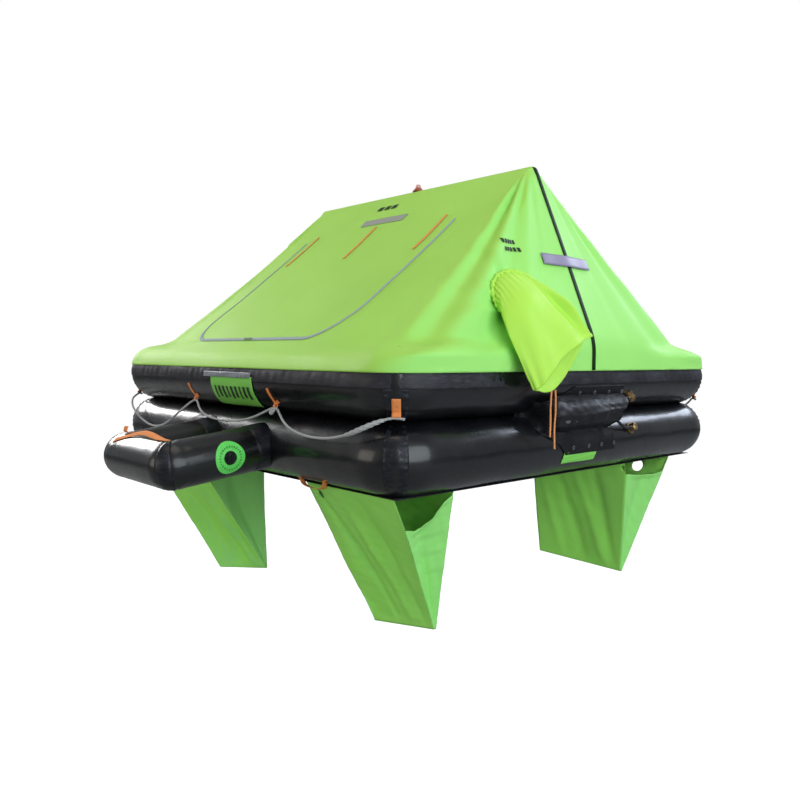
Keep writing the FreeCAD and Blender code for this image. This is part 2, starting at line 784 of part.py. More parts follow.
def ramp_strap():
    """Boarding handle: webbing laid over the outer bar, with a tab on the left arm's end."""
    gap = size("seat_gap")
    radius = size("ramp_dia / 2") + gap
    half = size("(ramp_width - ramp_dia) / 2")
    reach = ramp_placement()[1]
    thick = size("webbing_thick")
    band = Part.makeCylinder(radius + thick, 2 * half, V(-half, -reach, 0), X_AXIS)
    band = band.cut(Part.makeCylinder(radius, 2 * half, V(-half, -reach, 0), X_AXIS))
    width = size("webbing_width")
    low = -reach - 62
    left = -half + 12
    outline = [
        V(left, low, 0), V(left, -reach + 8, 0), V(left + width, -reach + 8, 0), V(left + width, low + width, 0),
        V(half - 4, -reach + width / 2, 0), V(half - 4, -reach - width / 2, 0)]
    strap = band.common(slab(outline, V(0, 0, 2 * radius)))
    tab = box_between((left, -reach + 4, radius - 2), (left + width, -reach + 8, radius + 16))
    tab = tab.cut(Part.makeCylinder(radius, 2 * half, V(-half, -reach, 0), X_AXIS))
    feature("ramp_strap", in_ramp(strap.fuse(tab)))


# ---------------------------------------------------------------- topping-up valve on the ramp
BARREL = "barrel_dia / 2"
BORE = "valve_bore / 2"
VALVE_DEPTH = "12"
STEM_HOLE = "stem_dia / 2 + stem_fit"


def valve_placement():
    half = size("(ramp_width - ramp_dia) / 2")
    spot = V(half + size("ramp_dia / 2"), valve_run(), 0)
    frame, reach = ramp_placement()
    return FreeCAD.Placement(frame.multVec(spot), FreeCAD.Rotation(Y_AXIS, 90))


def valve():
    gap = "seat_gap"
    body = turned("valve_body", [
        (STEM_HOLE, "-" + VALVE_DEPTH), (BARREL, "-" + VALVE_DEPTH), (BARREL, gap),
        ("flange_dia / 2", gap), ("flange_dia / 2", "flange_thick"), (BARREL, "flange_thick + seat_gap"),
        (BARREL, "barrel_height"), (BORE, "barrel_height"), (BORE, "flange_thick + seat_gap"),
        ("stem_dia / 2 + 2.5", "flange_thick + seat_gap"), ("stem_dia / 2 + 2.5", "flange_thick - 2"),
        (BORE, "flange_thick - 2"), (BORE, "2 - " + VALVE_DEPTH), (STEM_HOLE, "2 - " + VALVE_DEPTH)])
    body.Placement = valve_placement()
    plunger = turned("valve_plunger", [
        ("0", "-" + VALVE_DEPTH), ("stem_dia / 2", "-" + VALVE_DEPTH), ("stem_dia / 2", "-1"),
        ("valve_bore / 2 - 1", "-1"), ("valve_bore / 2 - 1", "flange_thick - 2 - seat_gap"),
        ("stem_dia / 2", "flange_thick - 2 - seat_gap"), ("stem_dia / 2", "barrel_height - 2"),
        ("0", "barrel_height - 2")])
    plunger.Placement = valve_placement()
    spring = turned("valve_spring", [
        ("stem_dia / 2 + 1.2", "2.3 - " + VALVE_DEPTH), ("stem_dia / 2 + 2.4", "2.3 - " + VALVE_DEPTH),
        ("stem_dia / 2 + 2.4", "-1.3"), ("stem_dia / 2 + 1.2", "-1.3")])
    spring.Placement = valve_placement()
    inner = "barrel_dia / 2 + cap_fit"
    outer = "barrel_dia / 2 + cap_fit + cap_wall"
    top = "barrel_height + cap_fit + cap_wall"
    cap = turned("valve_cap", [
        ("0", "barrel_height + cap_fit"), (inner, "barrel_height + cap_fit"), (inner, "flange_thick + 1"),
        (outer, "flange_thick + 1"), (outer, top + " - 1.5"), (outer + " - 1.5", top), ("0", top)])
    bar = sketch_on(cap, "XY_Plane", ("0", "0", top + " - 0.5"))
    draw_outline(bar, [
        ("-barrel_dia / 2.4", "-cap_wall"), ("barrel_dia / 2.4", "-cap_wall"),
        ("barrel_dia / 2.4", "cap_wall"), ("-barrel_dia / 2.4", "cap_wall")])
    pad(cap, bar, "cap_wall + 2")
    cap.Placement = valve_placement()
    radius = size("ramp_dia / 2 + seat_gap")
    half = size("(ramp_width - ramp_dia) / 2")
    run = valve_run()
    outer_half = size("ring_dia / 2")
    skin = Part.makeCylinder(radius + 1, 2 * outer_half, V(half, run - outer_half, 0), Y_AXIS)
    skin = skin.cut(Part.makeCylinder(radius, 2 * outer_half, V(half, run - outer_half, 0), Y_AXIS))
    disc = Part.makeCylinder(outer_half, radius, V(half + 10, run, 0), X_AXIS)
    disc = disc.cut(Part.makeCylinder(size("flange_dia / 2") + 2, radius, V(half + 10, run, 0), X_AXIS))
    feature("valve_label_ring", in_ramp(skin.common(disc)))


# ---------------------------------------------------------------- gas cylinder, hoses and pouch
def bottle_reach():
    """Distance of the bottle's axis outward from the tubes' line, where it rests on both."""
    apart = size("tube_rad + bottle_gap + bottle_dia / 2")
    rise = size("(upper_level - lower_level) / 2")
    return math.sqrt(apart ** 2 - rise ** 2)


def bottle_axis(along):
    """Point on the bottle's axis at a distance along Y."""
    return V(size("line_x") + bottle_reach(), along, size("(upper_level + lower_level) / 2"))


def gas_system():
    dome = "bottle_dia / 6"
    shoulder = "bottle_length - bottle_dia / 4"
    bottle = turned("gas_cylinder", [
        ("0", "0"), ("bottle_dia / 2 - " + dome, "0"), ("bottle_dia / 2", dome), ("bottle_dia / 2", shoulder),
        ("bottle_dia / 3", "bottle_length - bottle_dia / 10"), ("neck_dia / 2", "bottle_length"),
        ("neck_dia / 2", "bottle_length + 14"), ("0", "bottle_length + 14")])
    along_y = FreeCAD.Rotation(X_AXIS, -90)
    start = size("bottle_start")
    bottle.Placement = FreeCAD.Placement(bottle_axis(start), along_y)
    head = new_body("operating_head")
    block = sketch_on(head, "XY_Plane")
    half = "head_width / 2"
    draw_outline(block, [
        ("-" + half, "-" + half), (half, "-" + half), (half, half), ("-" + half, half)])
    pad(head, block, "head_length")
    port = sketch_on(head, "XY_Plane")
    draw_circle(port, "0", "head_width / 2 - hose_dia", "hose_dia / 2 + 2")
    draw_circle(port, "0", "hose_dia - head_width / 2", "hose_dia / 2 + 2")
    pad(head, port, "head_length + 8")
    drum = sketch_on(head, "YZ_Plane")
    draw_circle(drum, "0", "head_length / 2", "head_width / 3")
    pad(head, drum, "head_width / 2 + 12")
    top = start + size("bottle_length") + 14 + size("seat_gap")
    head.Placement = FreeCAD.Placement(bottle_axis(top), along_y)
    for label, side in (("upper_hose", 1), ("lower_hose", -1)):
        hose(label, side, top + size("head_length") + 8)


def inlet_frame(side):
    """Seat of an inlet valve on the gable side of a tube: point and outward direction."""
    level = size("upper_level") if side > 0 else size("lower_level")
    angle = math.radians(-33 if side > 0 else 20)
    outward = V(math.cos(angle), 0, math.sin(angle))
    centre = V(size("line_x"), size("inlet_place"), level)
    return centre + outward * size("tube_rad + seat_gap"), outward


def hose(label, side, start):
    """Hose from the operating head's port to the side port of an inlet valve."""
    seat, outward = inlet_frame(side)
    radius = size("hose_dia / 2")
    port_shift = size("head_width / 2 - hose_dia")
    begin = bottle_axis(start) + V(0, size("seat_gap"), port_shift * side)
    finish = seat + outward * size("inlet_dia / 2") - V(0, size("inlet_dia / 2 + 10 + seat_gap"), 0)
    span = finish.y - begin.y
    first = begin + V(0, span * 0.2, 0)
    last = finish - V(0, span * 0.2, 0)
    middle = (first + last) * 0.5 + V(10, 0, 6 * side)
    points = [begin, first, middle, last, finish]
    bends = []
    for index in (1, 2, 3):
        arrive = points[index] - points[index - 1]
        depart = points[index + 1] - points[index]
        turn = arrive.getAngle(depart)
        bends.append(0.45 * min(arrive.Length, depart.Length) / math.tan(turn / 2))
    print(label, "bend radii", [round(bend) for bend in bends])
    feature(label, swept_round(tube_path(points, bends), radius))


def inlet_valves():
    for label, side in (("upper_inlet_valve", 1), ("lower_inlet_valve", -1)):
        seat, outward = inlet_frame(side)
        body = turned(label, [
            ("0", "0"), ("inlet_dia / 2 + 8", "0"), ("inlet_dia / 2 + 8", "3"), ("inlet_dia / 2", "4"),
            ("inlet_dia / 2", "inlet_dia * 0.8"), ("inlet_dia / 3", "inlet_dia * 0.9"), ("0", "inlet_dia * 0.9")])
        port = sketch_on(body, "XZ_Plane")
        draw_circle(port, "0", "inlet_dia / 2", "hose_dia / 2 + 2")
        pad(body, port, "inlet_dia / 2 + 10")
        sideways = outward.cross(Y_AXIS)
        body.Placement = FreeCAD.Placement(seat, FreeCAD.Rotation(sideways * -1, Y_AXIS, outward, "ZYX"))


def pouch():
    """Laced rubber pouch that holds the gas cylinder in the groove between the tubes."""
    gap = size("seat_gap")
    thick = size("pouch_thick")
    reach = bottle_reach()
    middle = size("(upper_level + lower_level) / 2")
    inner = size("bottle_dia / 2 + bottle_gap")
    tube = size("tube_rad") + gap
    swing = math.radians(58)
    faces = []
    for side, level_name, patch_low, patch_high in (
            (1, "upper_level", 318, 345), (-1, "lower_level", 104, 188)):
        level = size(level_name)
        faces.append(ring_section((0, level), tube, tube + thick, patch_low, patch_high))
        meet = patch_low if side > 0 else patch_high
        rise = meet - level
        root = V(math.sqrt(tube ** 2 - rise ** 2), 0, meet)
        crest = V(reach + inner * math.cos(swing), 0, middle + side * inner * math.sin(swing))
        out = V(math.cos(swing), 0, side * math.sin(swing)) * thick
        beyond = V(math.sqrt((tube + thick) ** 2 - rise ** 2), 0, meet)
        faces.append(Part.Face(Part.makePolygon([root, crest, crest + out, beyond, root])))
    band = ring_section((reach, middle), inner, inner + thick, middle - 60, middle + 60)
    wedge = [V(reach, 0, middle), V(reach + 200, 0, middle - 200 * math.tan(swing)),
             V(reach + 200, 0, middle + 200 * math.tan(swing))]
    faces.append(band.common(Part.Face(Part.makePolygon(wedge + wedge[:1]))))
    profile = faces[0].multiFuse(faces[1:])
    solids = [face.extrude(V(0, 700, 0)) for face in profile.Faces]
    shell = solids[0].multiFuse(solids[1:])
    shell.translate(V(0, -350, 0))
    outline = [(-100, 360), (235, 360), (235, 305), (165, 252), (170, 90), (-165, 90), (-315, 252)]
    trim = slab([V(0, along, height) for along, height in outline], V(400, 0, 0))
    shell = onto_tube(shell.common(trim).removeSplitter(), "gable")
    feature("cylinder_pouch", shell)
    rings = []
    for level_name, height, places in (
            ("upper_level", 331, (-80, 22, 124, 222)), ("lower_level", 119, (-128, -23, 67, 158))):
        rise = height - size(level_name)
        angle = math.asin(rise / (tube + thick))
        outward = V(math.cos(angle), 0, math.sin(angle))
        for along in places:
            spot = V(size("line_x"), along, size(level_name)) + outward * (tube + thick + gap)
            ring = Part.makeCylinder(8, 1.5, spot, outward)
            rings.append(ring.cut(Part.makeCylinder(4.5, 1.5, spot, outward)))
    feature("pouch_eyelets", Part.makeCompound(rings))


# ---------------------------------------------------------------- lookout sleeve
SLEEVE_PANELS = 20


def oval(centre, across, half_across, half_along):
    """Corners of an oval ring about a centre; across is its direction off the gable, along is Y."""
    ring = []
    for step in range(SLEEVE_PANELS):
        angle = 2 * math.pi * step / SLEEVE_PANELS
        ring.append(centre + across * (half_across * math.cos(angle)) + Y_AXIS * (half_along * math.sin(angle)))
    return ring


def sleeve():
    """Cloth sleeve that hangs from the lookout port, open at its foot."""
    side = -size("sleeve_side")
    height = size("sleeve_height")
    radius = size("sleeve_dia / 2")
    skin = size("cloth_thick + seat_gap")
    run = gable_half(height - 50, skin) - gable_half(height + 50, skin)
    up = V(-run, 0, 100).normalize()
    root = V(gable_half(height, skin), side, height)
    foot = gable_half(0, skin)
    stations = [
        (root, up * -1, radius, radius),
        (V(foot + 52, side - 5, height - 135), V(0.91, 0, 0.42), 36, radius),
        (V(foot + 46, side - 35, height - 220), V(1, 0, 0), 28, radius - 25),
        (V(foot + 38, side - 50, height - 298), V(1, 0, 0), 12, radius - 50),
    ]
    thick = size("sleeve_thick")
    outer = []
    inner = []
    for centre, across, half_across, half_along in stations:
        outer.append(oval(centre, across * -1, half_across, half_along))
        inner.append(oval(centre, across * -1, half_across - thick, half_along - thick))
    shell = panelled_solid(outer + inner[::-1], hollow=True)
    feature("lookout_sleeve", shell)
    bottom = stations[-1]
    return bottom[0]


def draw_cords():
    """The sleeve's two draw cords, hanging from its hem."""
    routes = {
        "sleeve_draw_cord_left": [
            (1094, -345, 351.5), (1092, -347, 296), (1096, -350, 238), (1093, -348, 180)],
        "sleeve_draw_cord_right": [
            (1096, -325, 351.5), (1099, -322, 282), (1094, -326, 208), (1097, -324, 134)],
    }
    for label, route in routes.items():
        cord(label, route, size("draw_cord_dia"))


def cord(label, route, diameter):
    """Round cord along hand-picked points: straight runs joined by tangent arcs."""
    points = [V(*point) for point in route]
    bends = []
    for index in range(1, len(points) - 1):
        arrive = points[index] - points[index - 1]
        depart = points[index + 1] - points[index]
        turn = arrive.getAngle(depart)
        bends.append(0.45 * min(arrive.Length, depart.Length) / math.tan(turn / 2))
    path = tube_path(points, bends)
    solid = swept_round(path, diameter / 2)
    expected = path.Length * math.pi * diameter ** 2 / 4
    print(label, "length", round(path.Length), "bend radii", [round(bend) for bend in bends],
          "volume ratio", round(solid.Volume / expected, 4))
    feature(label, solid)


# ---------------------------------------------------------------- grab lines
BOARDING_LINE = [
    (-986, -972, 268), (-966, -991, 273.5), (-942, -1017, 268), (-912, -1055, 250), (-862, -1077, 216),
    (-798, -1080, 180), (-720, -1078, 149), (-630, -1077, 134), (-540, -1078, 143), (-460, -1080, 169),
    (-395, -1078, 203), (-350, -1064, 234), (-322, -1050, 257), (-285, -1037, 277), (-243, -1050, 258),
    (-200, -1065, 237), (-130, -1079, 217), (-40, -1083, 207), (60, -1083, 206), (160, -1081, 213),
    (235, -1072, 230), (295, -1053, 257), (339, -1037, 277), (382, -1050, 258), (425, -1066, 234),
    (490, -1079, 207), (575, -1080, 190), (665, -1080, 187), (745, -1081, 195), (812, -1080, 209),
    (868, -1076, 228), (912, -1055, 250), (942, -1017, 268), (966, -991, 273.5), (986, -972, 268)]


def grab_lines():
    """Rope through the loops of the boarding side, and its twin on the far side."""
    cord("grab_line_boarding", BOARDING_LINE, size("rope_dia"))
    twin = [(-x, -y, z) for x, y, z in BOARDING_LINE]
    cord("grab_line_far", twin, size("rope_dia"))


# ---------------------------------------------------------------- ballast bags and webbing below
def box_ring(low_x, high_x, low_y, high_y, height):
    """Corners of a level rectangle, in turn."""
    return [V(low_x, low_y, height), V(high_x, low_y, height), V(high_x, high_y, height), V(low_x, high_y, height)]


def panelled_solid(rings, hollow=False):
    """Solid of flat three-cornered panels between rings of as many points.

    A hollow one runs back to its first ring, as a sleeve's outside runs on into its inside.
    """
    count = len(rings[0])
    faces = []
    nexts = rings[1:]
    if hollow:
        nexts = nexts + rings[:1]
    else:
        faces = [Part.Face(Part.makePolygon(ring + ring[:1])) for ring in (rings[0], rings[-1])]
    for lower, upper in zip(rings, nexts):
        for index in range(count):
            after = (index + 1) % count
            for corners in ((lower[index], lower[after], upper[after]), (lower[index], upper[after], upper[index])):
                faces.append(Part.Face(Part.makePolygon(list(corners) + [corners[0]])))
    shell = Part.makeShell(faces)
    shell.sewShape()
    solid = Part.makeSolid(shell)
    if solid.Volume < 0:
        solid.reverse()
    return solid.removeSplitter()


def front_boarding_bag():
    """Open-topped water bag under the first corner, tapering down and inward."""
    top = -size("seat_gap")
    depth = size("bag_depth")
    length = size("bag_length")
    edge_x = size("line_x + bag_overhang")
    edge_y = size("line_y + bag_overhang")
    half_long = size("bag_bottom_long / 2")
    half_wide = size("bag_bottom_wide / 2")
    middle_x = edge_x - size("bag_slant_x")
    middle_y = edge_y - size("bag_slant_y")

    def block(inset, lift):
        upper = box_ring(edge_x - length + inset, edge_x - inset, edge_y - length + inset, edge_y - inset, top)
        lower = box_ring(middle_x - half_long + inset, middle_x + half_long - inset,
                         middle_y - half_wide + inset, middle_y + half_wide - inset, top - depth + lift)
        return panelled_solid([lower, upper])

    thick = size("bag_thick")
    walls = block(0, 0).cut(block(thick, thick))
    scoop_start = V(edge_x - length / 4, edge_y - length / 2, top)
    scoop = Part.makeCylinder(size("bag_scoop"), length, scoop_start, X_AXIS)
    walls = walls.cut(scoop)
    return walls.mirror(ORIGIN, Y_AXIS)


def ballast_bags():
    """Four bags, each a mirror of the first."""
    first = front_boarding_bag()
    for lengthwise, plane_x in (("front", None), ("rear", X_AXIS)):
        for side, plane_y in (("boarding", None), ("far", Y_AXIS)):
            shape = first.copy()
            for plane in (plane_x, plane_y):
                if plane is not None:
                    shape = shape.mirror(ORIGIN, plane)
            feature("ballast_bag_%s_%s" % (lengthwise, side), shape)


def webbing_loop():
    """Righting loop of webbing that hangs from the lower tube beside the first bag."""
    thick = size("webbing_thick")
    half = 72
    sag = 26
    radius = (half ** 2 + sag ** 2) / (2 * sag)
    inboard = size("floor_margin") + 7
    along = -size("line_y") - inboard - size("webbing_width")
    top = size("lower_level") - math.sqrt(size("tube_rad + seat_gap") ** 2 - inboard ** 2)
    middle = V(530, along, top - sag + radius)
    outer = Part.makeCylinder(radius, size("webbing_width"), middle, Y_AXIS)
    inner = Part.makeCylinder(radius - thick, size("webbing_width"), middle, Y_AXIS)
    below = box_between((530 - half, along - 1, -100), (530 + half, along + 60, top))
    feature("righting_loop", outer.cut(inner).common(below))


# ---------------------------------------------------------------- ridge lamp and inner valve
def ridge_lamp():
    base = turned("lamp_base", [
        ("0", "0"), ("lamp_dia / 2", "0"), ("lamp_dia / 2", "3"), ("lamp_lens_dia / 2 + 3", "lamp_height * 0.4"),
        ("lamp_lens_dia / 2 + 3", "lamp_height * 0.5"), ("0", "lamp_height * 0.5")])
    cloth = size("cloth_thick")
    top = canopy_levels(cloth)[-1] + size("seat_gap")
    base.Placement.Base = V(size("lamp_place"), 0, top)
    lens = turned("lamp_lens", [
        ("0", "lamp_height * 0.5 + seat_gap"), ("lamp_lens_dia / 2", "lamp_height * 0.5 + seat_gap"),
        ("lamp_lens_dia / 2", "lamp_height * 0.75"), ("lamp_lens_dia / 2.6", "lamp_height * 0.92"),
        ("lamp_lens_dia / 5", "lamp_height"), ("0", "lamp_height")])
    lens.Placement.Base = V(size("lamp_place"), 0, top)


def inner_valve():
    """Relief valve of the upper tube, on its inner side by the door."""
    body = turned("relief_valve", [
        ("0", "0"), ("flange_dia / 2", "0"), ("flange_dia / 2", "flange_thick"),
        ("barrel_dia / 2", "flange_thick + 1"), ("barrel_dia / 2", "barrel_height + 4"),
        ("barrel_dia / 2 - 2", "barrel_height + 6"), ("0", "barrel_height + 6")])
    spot = V(-300, -size("line_y") + size("tube_rad + seat_gap"), size("upper_level"))
    body.Placement = FreeCAD.Placement(spot, FreeCAD.Rotation(X_AXIS, -90))


# ---------------------------------------------------------------- the whole liferaft
buoyancy_tube("lower_tube", "lower_level")
buoyancy_tube("upper_tube", "upper_level")
corner_tapes("lower_corner_tapes", "lower_level", "lower_level + tube_rad - 1")
corner_tapes("upper_corner_tapes", "upper_level", "upper_level - skirt_drop - seat_gap")
floor()
canopy_pieces()
zip_slider("zip_slider_left", -1)
zip_slider("zip_slider_right", 1)
arch()
skirt()
rope_loops()
labels()
ramp()
ramp_strap()
valve()
gas_system()
inlet_valves()
pouch()
sleeve()
draw_cords()
grab_lines()
ballast_bags()
webbing_loop()
ridge_lamp()
inner_valve()
doc.recompute()

# ---------------------------------------------------------------- check and write
for item in doc.Objects:
    if "Invalid" in item.State or "Error" in item.State:
        raise RuntimeError("%s is %s" % (item.Label, item.State))
for piece in PIECES:
    if piece.Shape.isNull() or not piece.Shape.isValid() or piece.Shape.Volume <= 0:
        raise RuntimeError("%s has no valid solid" % piece.Label)

os.makedirs("parts", exist_ok=True)
for piece in PIECES:
    piece.Shape.exportStep(os.path.join("parts", piece.Label + ".step"))
    print("%-28s solids %2d  volume %10.1f cm3" % (
        piece.Label, len(piece.Shape.Solids), piece.Shape.Volume / 1000))
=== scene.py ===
# %% [markdown]
# # An inflated six-person liferaft
# The raft stands on two stacked air tubes. A bright cloth canopy hangs over an inflated arch,
# a boarding ramp lies in front of the door, and four water bags hang under the floor.
# The construction model gives every place and size, and this lesson gives each piece its
# surface, its folds and its finish. The first cell loads that model and keeps its box.

# %% Load the frame
import math

import bmesh
import bpy
import numpy as np
from mathutils import Matrix, Vector
from mathutils.bvhtree import BVHTree


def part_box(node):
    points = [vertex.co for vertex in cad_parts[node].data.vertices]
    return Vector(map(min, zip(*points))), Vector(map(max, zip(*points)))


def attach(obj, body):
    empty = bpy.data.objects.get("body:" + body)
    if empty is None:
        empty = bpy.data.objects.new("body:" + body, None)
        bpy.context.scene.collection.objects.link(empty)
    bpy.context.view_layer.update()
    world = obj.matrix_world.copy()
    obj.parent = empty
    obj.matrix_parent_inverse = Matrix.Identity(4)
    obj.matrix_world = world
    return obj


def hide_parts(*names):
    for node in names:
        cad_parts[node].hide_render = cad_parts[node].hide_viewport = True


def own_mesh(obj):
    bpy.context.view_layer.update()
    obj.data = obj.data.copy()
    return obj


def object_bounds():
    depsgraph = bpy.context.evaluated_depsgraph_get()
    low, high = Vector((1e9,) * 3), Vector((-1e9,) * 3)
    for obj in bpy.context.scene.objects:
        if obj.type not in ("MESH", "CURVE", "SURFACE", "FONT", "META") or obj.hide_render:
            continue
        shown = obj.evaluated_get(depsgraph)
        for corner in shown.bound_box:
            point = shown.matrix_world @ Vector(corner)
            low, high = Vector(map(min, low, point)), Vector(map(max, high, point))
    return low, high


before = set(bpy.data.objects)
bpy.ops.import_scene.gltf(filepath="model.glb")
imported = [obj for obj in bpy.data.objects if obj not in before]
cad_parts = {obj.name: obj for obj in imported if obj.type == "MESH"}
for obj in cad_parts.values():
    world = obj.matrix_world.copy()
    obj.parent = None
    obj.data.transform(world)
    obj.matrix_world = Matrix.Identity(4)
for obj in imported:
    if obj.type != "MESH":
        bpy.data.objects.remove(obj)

CAD_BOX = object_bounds()
print("construction model's box", [[round(v, 3) for v in corner] for corner in CAD_BOX])

# %% [markdown]
# ## The camera
# The raft is seen from its front corner, a little above the tubes, with a moderate wide lens.
# A camera is easiest to aim by a point that it looks at, so its turn comes from that direction,
# and a slight roll is added after.

# %% Camera
EYE = Vector((2.785, -2.640, 0.475))
AIM = Vector((0.0, -0.092, 0.253))
ROLL = math.radians(0.46)

camera_data = bpy.data.cameras.new("camera")
camera_data.lens = 34.56
camera_data.sensor_width = 36
camera = bpy.data.objects.new("camera", camera_data)
bpy.context.collection.objects.link(camera)
turn = (AIM - EYE).to_track_quat("-Z", "Y").to_matrix().to_4x4()
camera.matrix_world = Matrix.Translation(EYE) @ turn @ Matrix.Rotation(ROLL, 4, "Z")
bpy.context.scene.camera = camera
print("camera", round((AIM - EYE).length, 2), "m from the raft's middle")

# %% [markdown]
# ## Light and floor
# Black glossy tubes show what stands round them, so the lamps are large and soft. A broad one on
# the gable's side makes the gable the brightest face, and weaker ones stand over the raft and
# before its boarding side. Two more, at its left and behind it, only draw long shines on the
# tubes. The floor is pale and lies below the hanging bags. To the camera it is nearly white, but
# it still takes the raft's shadow.

# %% Lamps, world and floor
def soft_lamp(name, place, target, width, height, power, tint=(1, 1, 1)):
    """One rectangular lamp, turned to its target."""
    data = bpy.data.lights.new(name, "AREA")
    data.shape = "RECTANGLE"
    data.size = width
    data.size_y = height
    data.energy = power
    data.color = tint
    lamp = bpy.data.objects.new(name, data)
    place = Vector(place)
    lamp.matrix_world = (Matrix.Translation(place)
                         @ (Vector(target) - place).to_track_quat("-Z", "Y").to_matrix().to_4x4())
    bpy.context.collection.objects.link(lamp)
    return lamp


COOL, WARM = (0.86, 0.97, 1.0), (1.0, 0.94, 0.82)
soft_lamp("gable_lamp", (6.5, -1.2, 2.2), (0.6, 0, 0.4), 6.5, 4.5, 300, COOL)
soft_lamp("top_lamp", (0.5, -1.5, 5.5), (0, 0, 0.3), 4.5, 3.5, 60, WARM)
soft_lamp("front_lamp", (-1.5, -6.5, 1.2), (0, 0, 0.1), 4.0, 2.5, 62, WARM)
soft_lamp("left_shine", (-6.0, -1.2, 2.5), (0, -1.1, 0.1), 2.8, 1.5, 190)
soft_lamp("far_shine", (1.6, 7.0, 4.4), (1.0, 0, 0.2), 4.4, 2.2, 260, (0.75, 0.84, 1.0))


def shown_to_camera(tree, lit, shown, outlet):
    """The camera sees one shader, and the light that reaches the object comes from the other."""
    ray = tree.nodes.new("ShaderNodeLightPath")
    choose = tree.nodes.new("ShaderNodeMixShader")
    tree.links.new(ray.outputs["Is Camera Ray"], choose.inputs[0])
    tree.links.new(lit.outputs[0], choose.inputs[1])
    tree.links.new(shown.outputs[0], choose.inputs[2])
    tree.links.new(choose.outputs[0], outlet.inputs["Surface"])


world = bpy.data.worlds.new("studio")
bpy.context.scene.world = world
world.use_nodes = True
nodes = world.node_tree.nodes
backdrop = nodes["Background"]
backdrop.inputs["Color"].default_value = (0.93, 0.96, 1.0, 1)
backdrop.inputs["Strength"].default_value = 0.30
white = nodes.new("ShaderNodeBackground")
white.inputs["Color"].default_value = (1, 1, 1, 1)
shown_to_camera(world.node_tree, backdrop, white, nodes["World Output"])

bpy.context.scene.view_settings.view_transform = "Standard"

FLOOR_DROP = 0.55
floor_level = CAD_BOX[0][2] - FLOOR_DROP
floor_mesh = bpy.data.meshes.new("studio_floor")
FLOOR_REACH = 40
floor_mesh.from_pydata([(x * FLOOR_REACH, y * FLOOR_REACH, floor_level)
                        for x, y in ((-1, -1), (1, -1), (1, 1), (-1, 1))], [], [(0, 1, 2, 3)])
studio_floor = bpy.data.objects.new("studio_floor", floor_mesh)
bpy.context.collection.objects.link(studio_floor)
paper = bpy.data.materials.new("floor_paper")
paper.use_nodes = True
nodes = paper.node_tree.nodes
matt = nodes["Principled BSDF"]
matt.inputs["Base Color"].default_value = (0.30, 0.30, 0.30, 1)
matt.inputs["Roughness"].default_value = 0.9
glow = nodes.new("ShaderNodeEmission")
glow.inputs["Strength"].default_value = 0.90
both = nodes.new("ShaderNodeAddShader")
paper.node_tree.links.new(matt.outputs[0], both.inputs[0])
paper.node_tree.links.new(glow.outputs[0], both.inputs[1])
shown_to_camera(paper.node_tree, matt, both, nodes["Material Output"])
studio_floor.data.materials.append(paper)
print("floor at", round(floor_level, 3))

# %% [markdown]
# ## Surface effects
# Three effects serve all the soft materials. The coated skin mottles a colour, scatters dust on it
# and lets its gloss wander, which suits rubber. The cloth effect crosses two bands of threads, adds
# the creases that a packed sheet keeps and paints a second tone of light on faces turned along X.
# The braid effect draws slanting strands for webbing and rope, with painted shade in the grooves
# between them. Each is one node group, so a material only gives it its own colours and sizes.

# %% Node group helpers
def new_group(name, inputs):
    """Empty node group with the given inputs and a colour, roughness and height output."""
    group = bpy.data.node_groups.new(name, "ShaderNodeTree")
    for label, kind, value in inputs:
        socket = group.interface.new_socket(name=label, in_out="INPUT", socket_type=kind)
        socket.default_value = value
    for label, kind in (("Color", "NodeSocketColor"), ("Roughness", "NodeSocketFloat"),
                        ("Height", "NodeSocketFloat")):
        group.interface.new_socket(name=label, in_out="OUTPUT", socket_type=kind)
    return group


def add(tree, kind, settings=None, **inputs):
    """One node; an input may be a number, a colour or another node's output."""
    node = tree.nodes.new("ShaderNode" + kind)
    for key, value in (settings or {}).items():
        setattr(node, key, value)
    for key, value in inputs.items():
        numbered = key[0] == "n" and key[1:].isdigit()
        socket = node.inputs[int(key[1:]) if numbered else key.replace("_", " ")]
        if isinstance(value, bpy.types.NodeSocket):
            tree.links.new(value, socket)
        else:
            socket.default_value = value
    return node


def blended(tree, mask, first, second):
    """Colour that goes from first to second with the mask."""
    node = add(tree, "Mix", {"data_type": "RGBA"})
    tree.links.new(mask, node.inputs[0])
    tree.links.new(first, node.inputs[6])
    tree.links.new(second, node.inputs[7])
    return node.outputs[2]


def ranged(tree, value, low, high, new_low, new_high):
    """A value moved from one range to another and kept inside it."""
    node = add(tree, "MapRange", {"clamp": True}, Value=value, From_Min=low, From_Max=high)
    for key, limit in (("To Min", new_low), ("To Max", new_high)):
        if isinstance(limit, bpy.types.NodeSocket):
            tree.links.new(limit, node.inputs[key])
        else:
            node.inputs[key].default_value = limit
    return node.outputs[0]


# %% Coated skin
FLOAT = "NodeSocketFloat"
COLOUR = "NodeSocketColor"
skin = new_group("coated_skin", [
    ("Tone", COLOUR, (0.01, 0.01, 0.012, 1)), ("Dust", COLOUR, (0.1, 0.1, 0.11, 1)),
    ("Dust Amount", FLOAT, 0.3), ("Smooth", FLOAT, 0.2), ("Rough", FLOAT, 0.5), ("Patch Scale", FLOAT, 5.0)])
inside = add(skin, "TexCoord")
source = skin.nodes.new("NodeGroupInput")
target = skin.nodes.new("NodeGroupOutput")
broad = add(skin, "TexNoise", Vector=inside.outputs["Object"], Scale=source.outputs["Patch Scale"],
            Detail=4.0, Roughness=0.6)
streak = add(skin, "Mapping", Vector=inside.outputs["Object"], Scale=(1.0, 1.0, 6.0))
scuffs = add(skin, "TexNoise", Vector=streak.outputs[0], Scale=22.0, Detail=6.0, Roughness=0.7)
grains = add(skin, "TexNoise", Vector=inside.outputs["Object"], Scale=260.0, Detail=2.0)
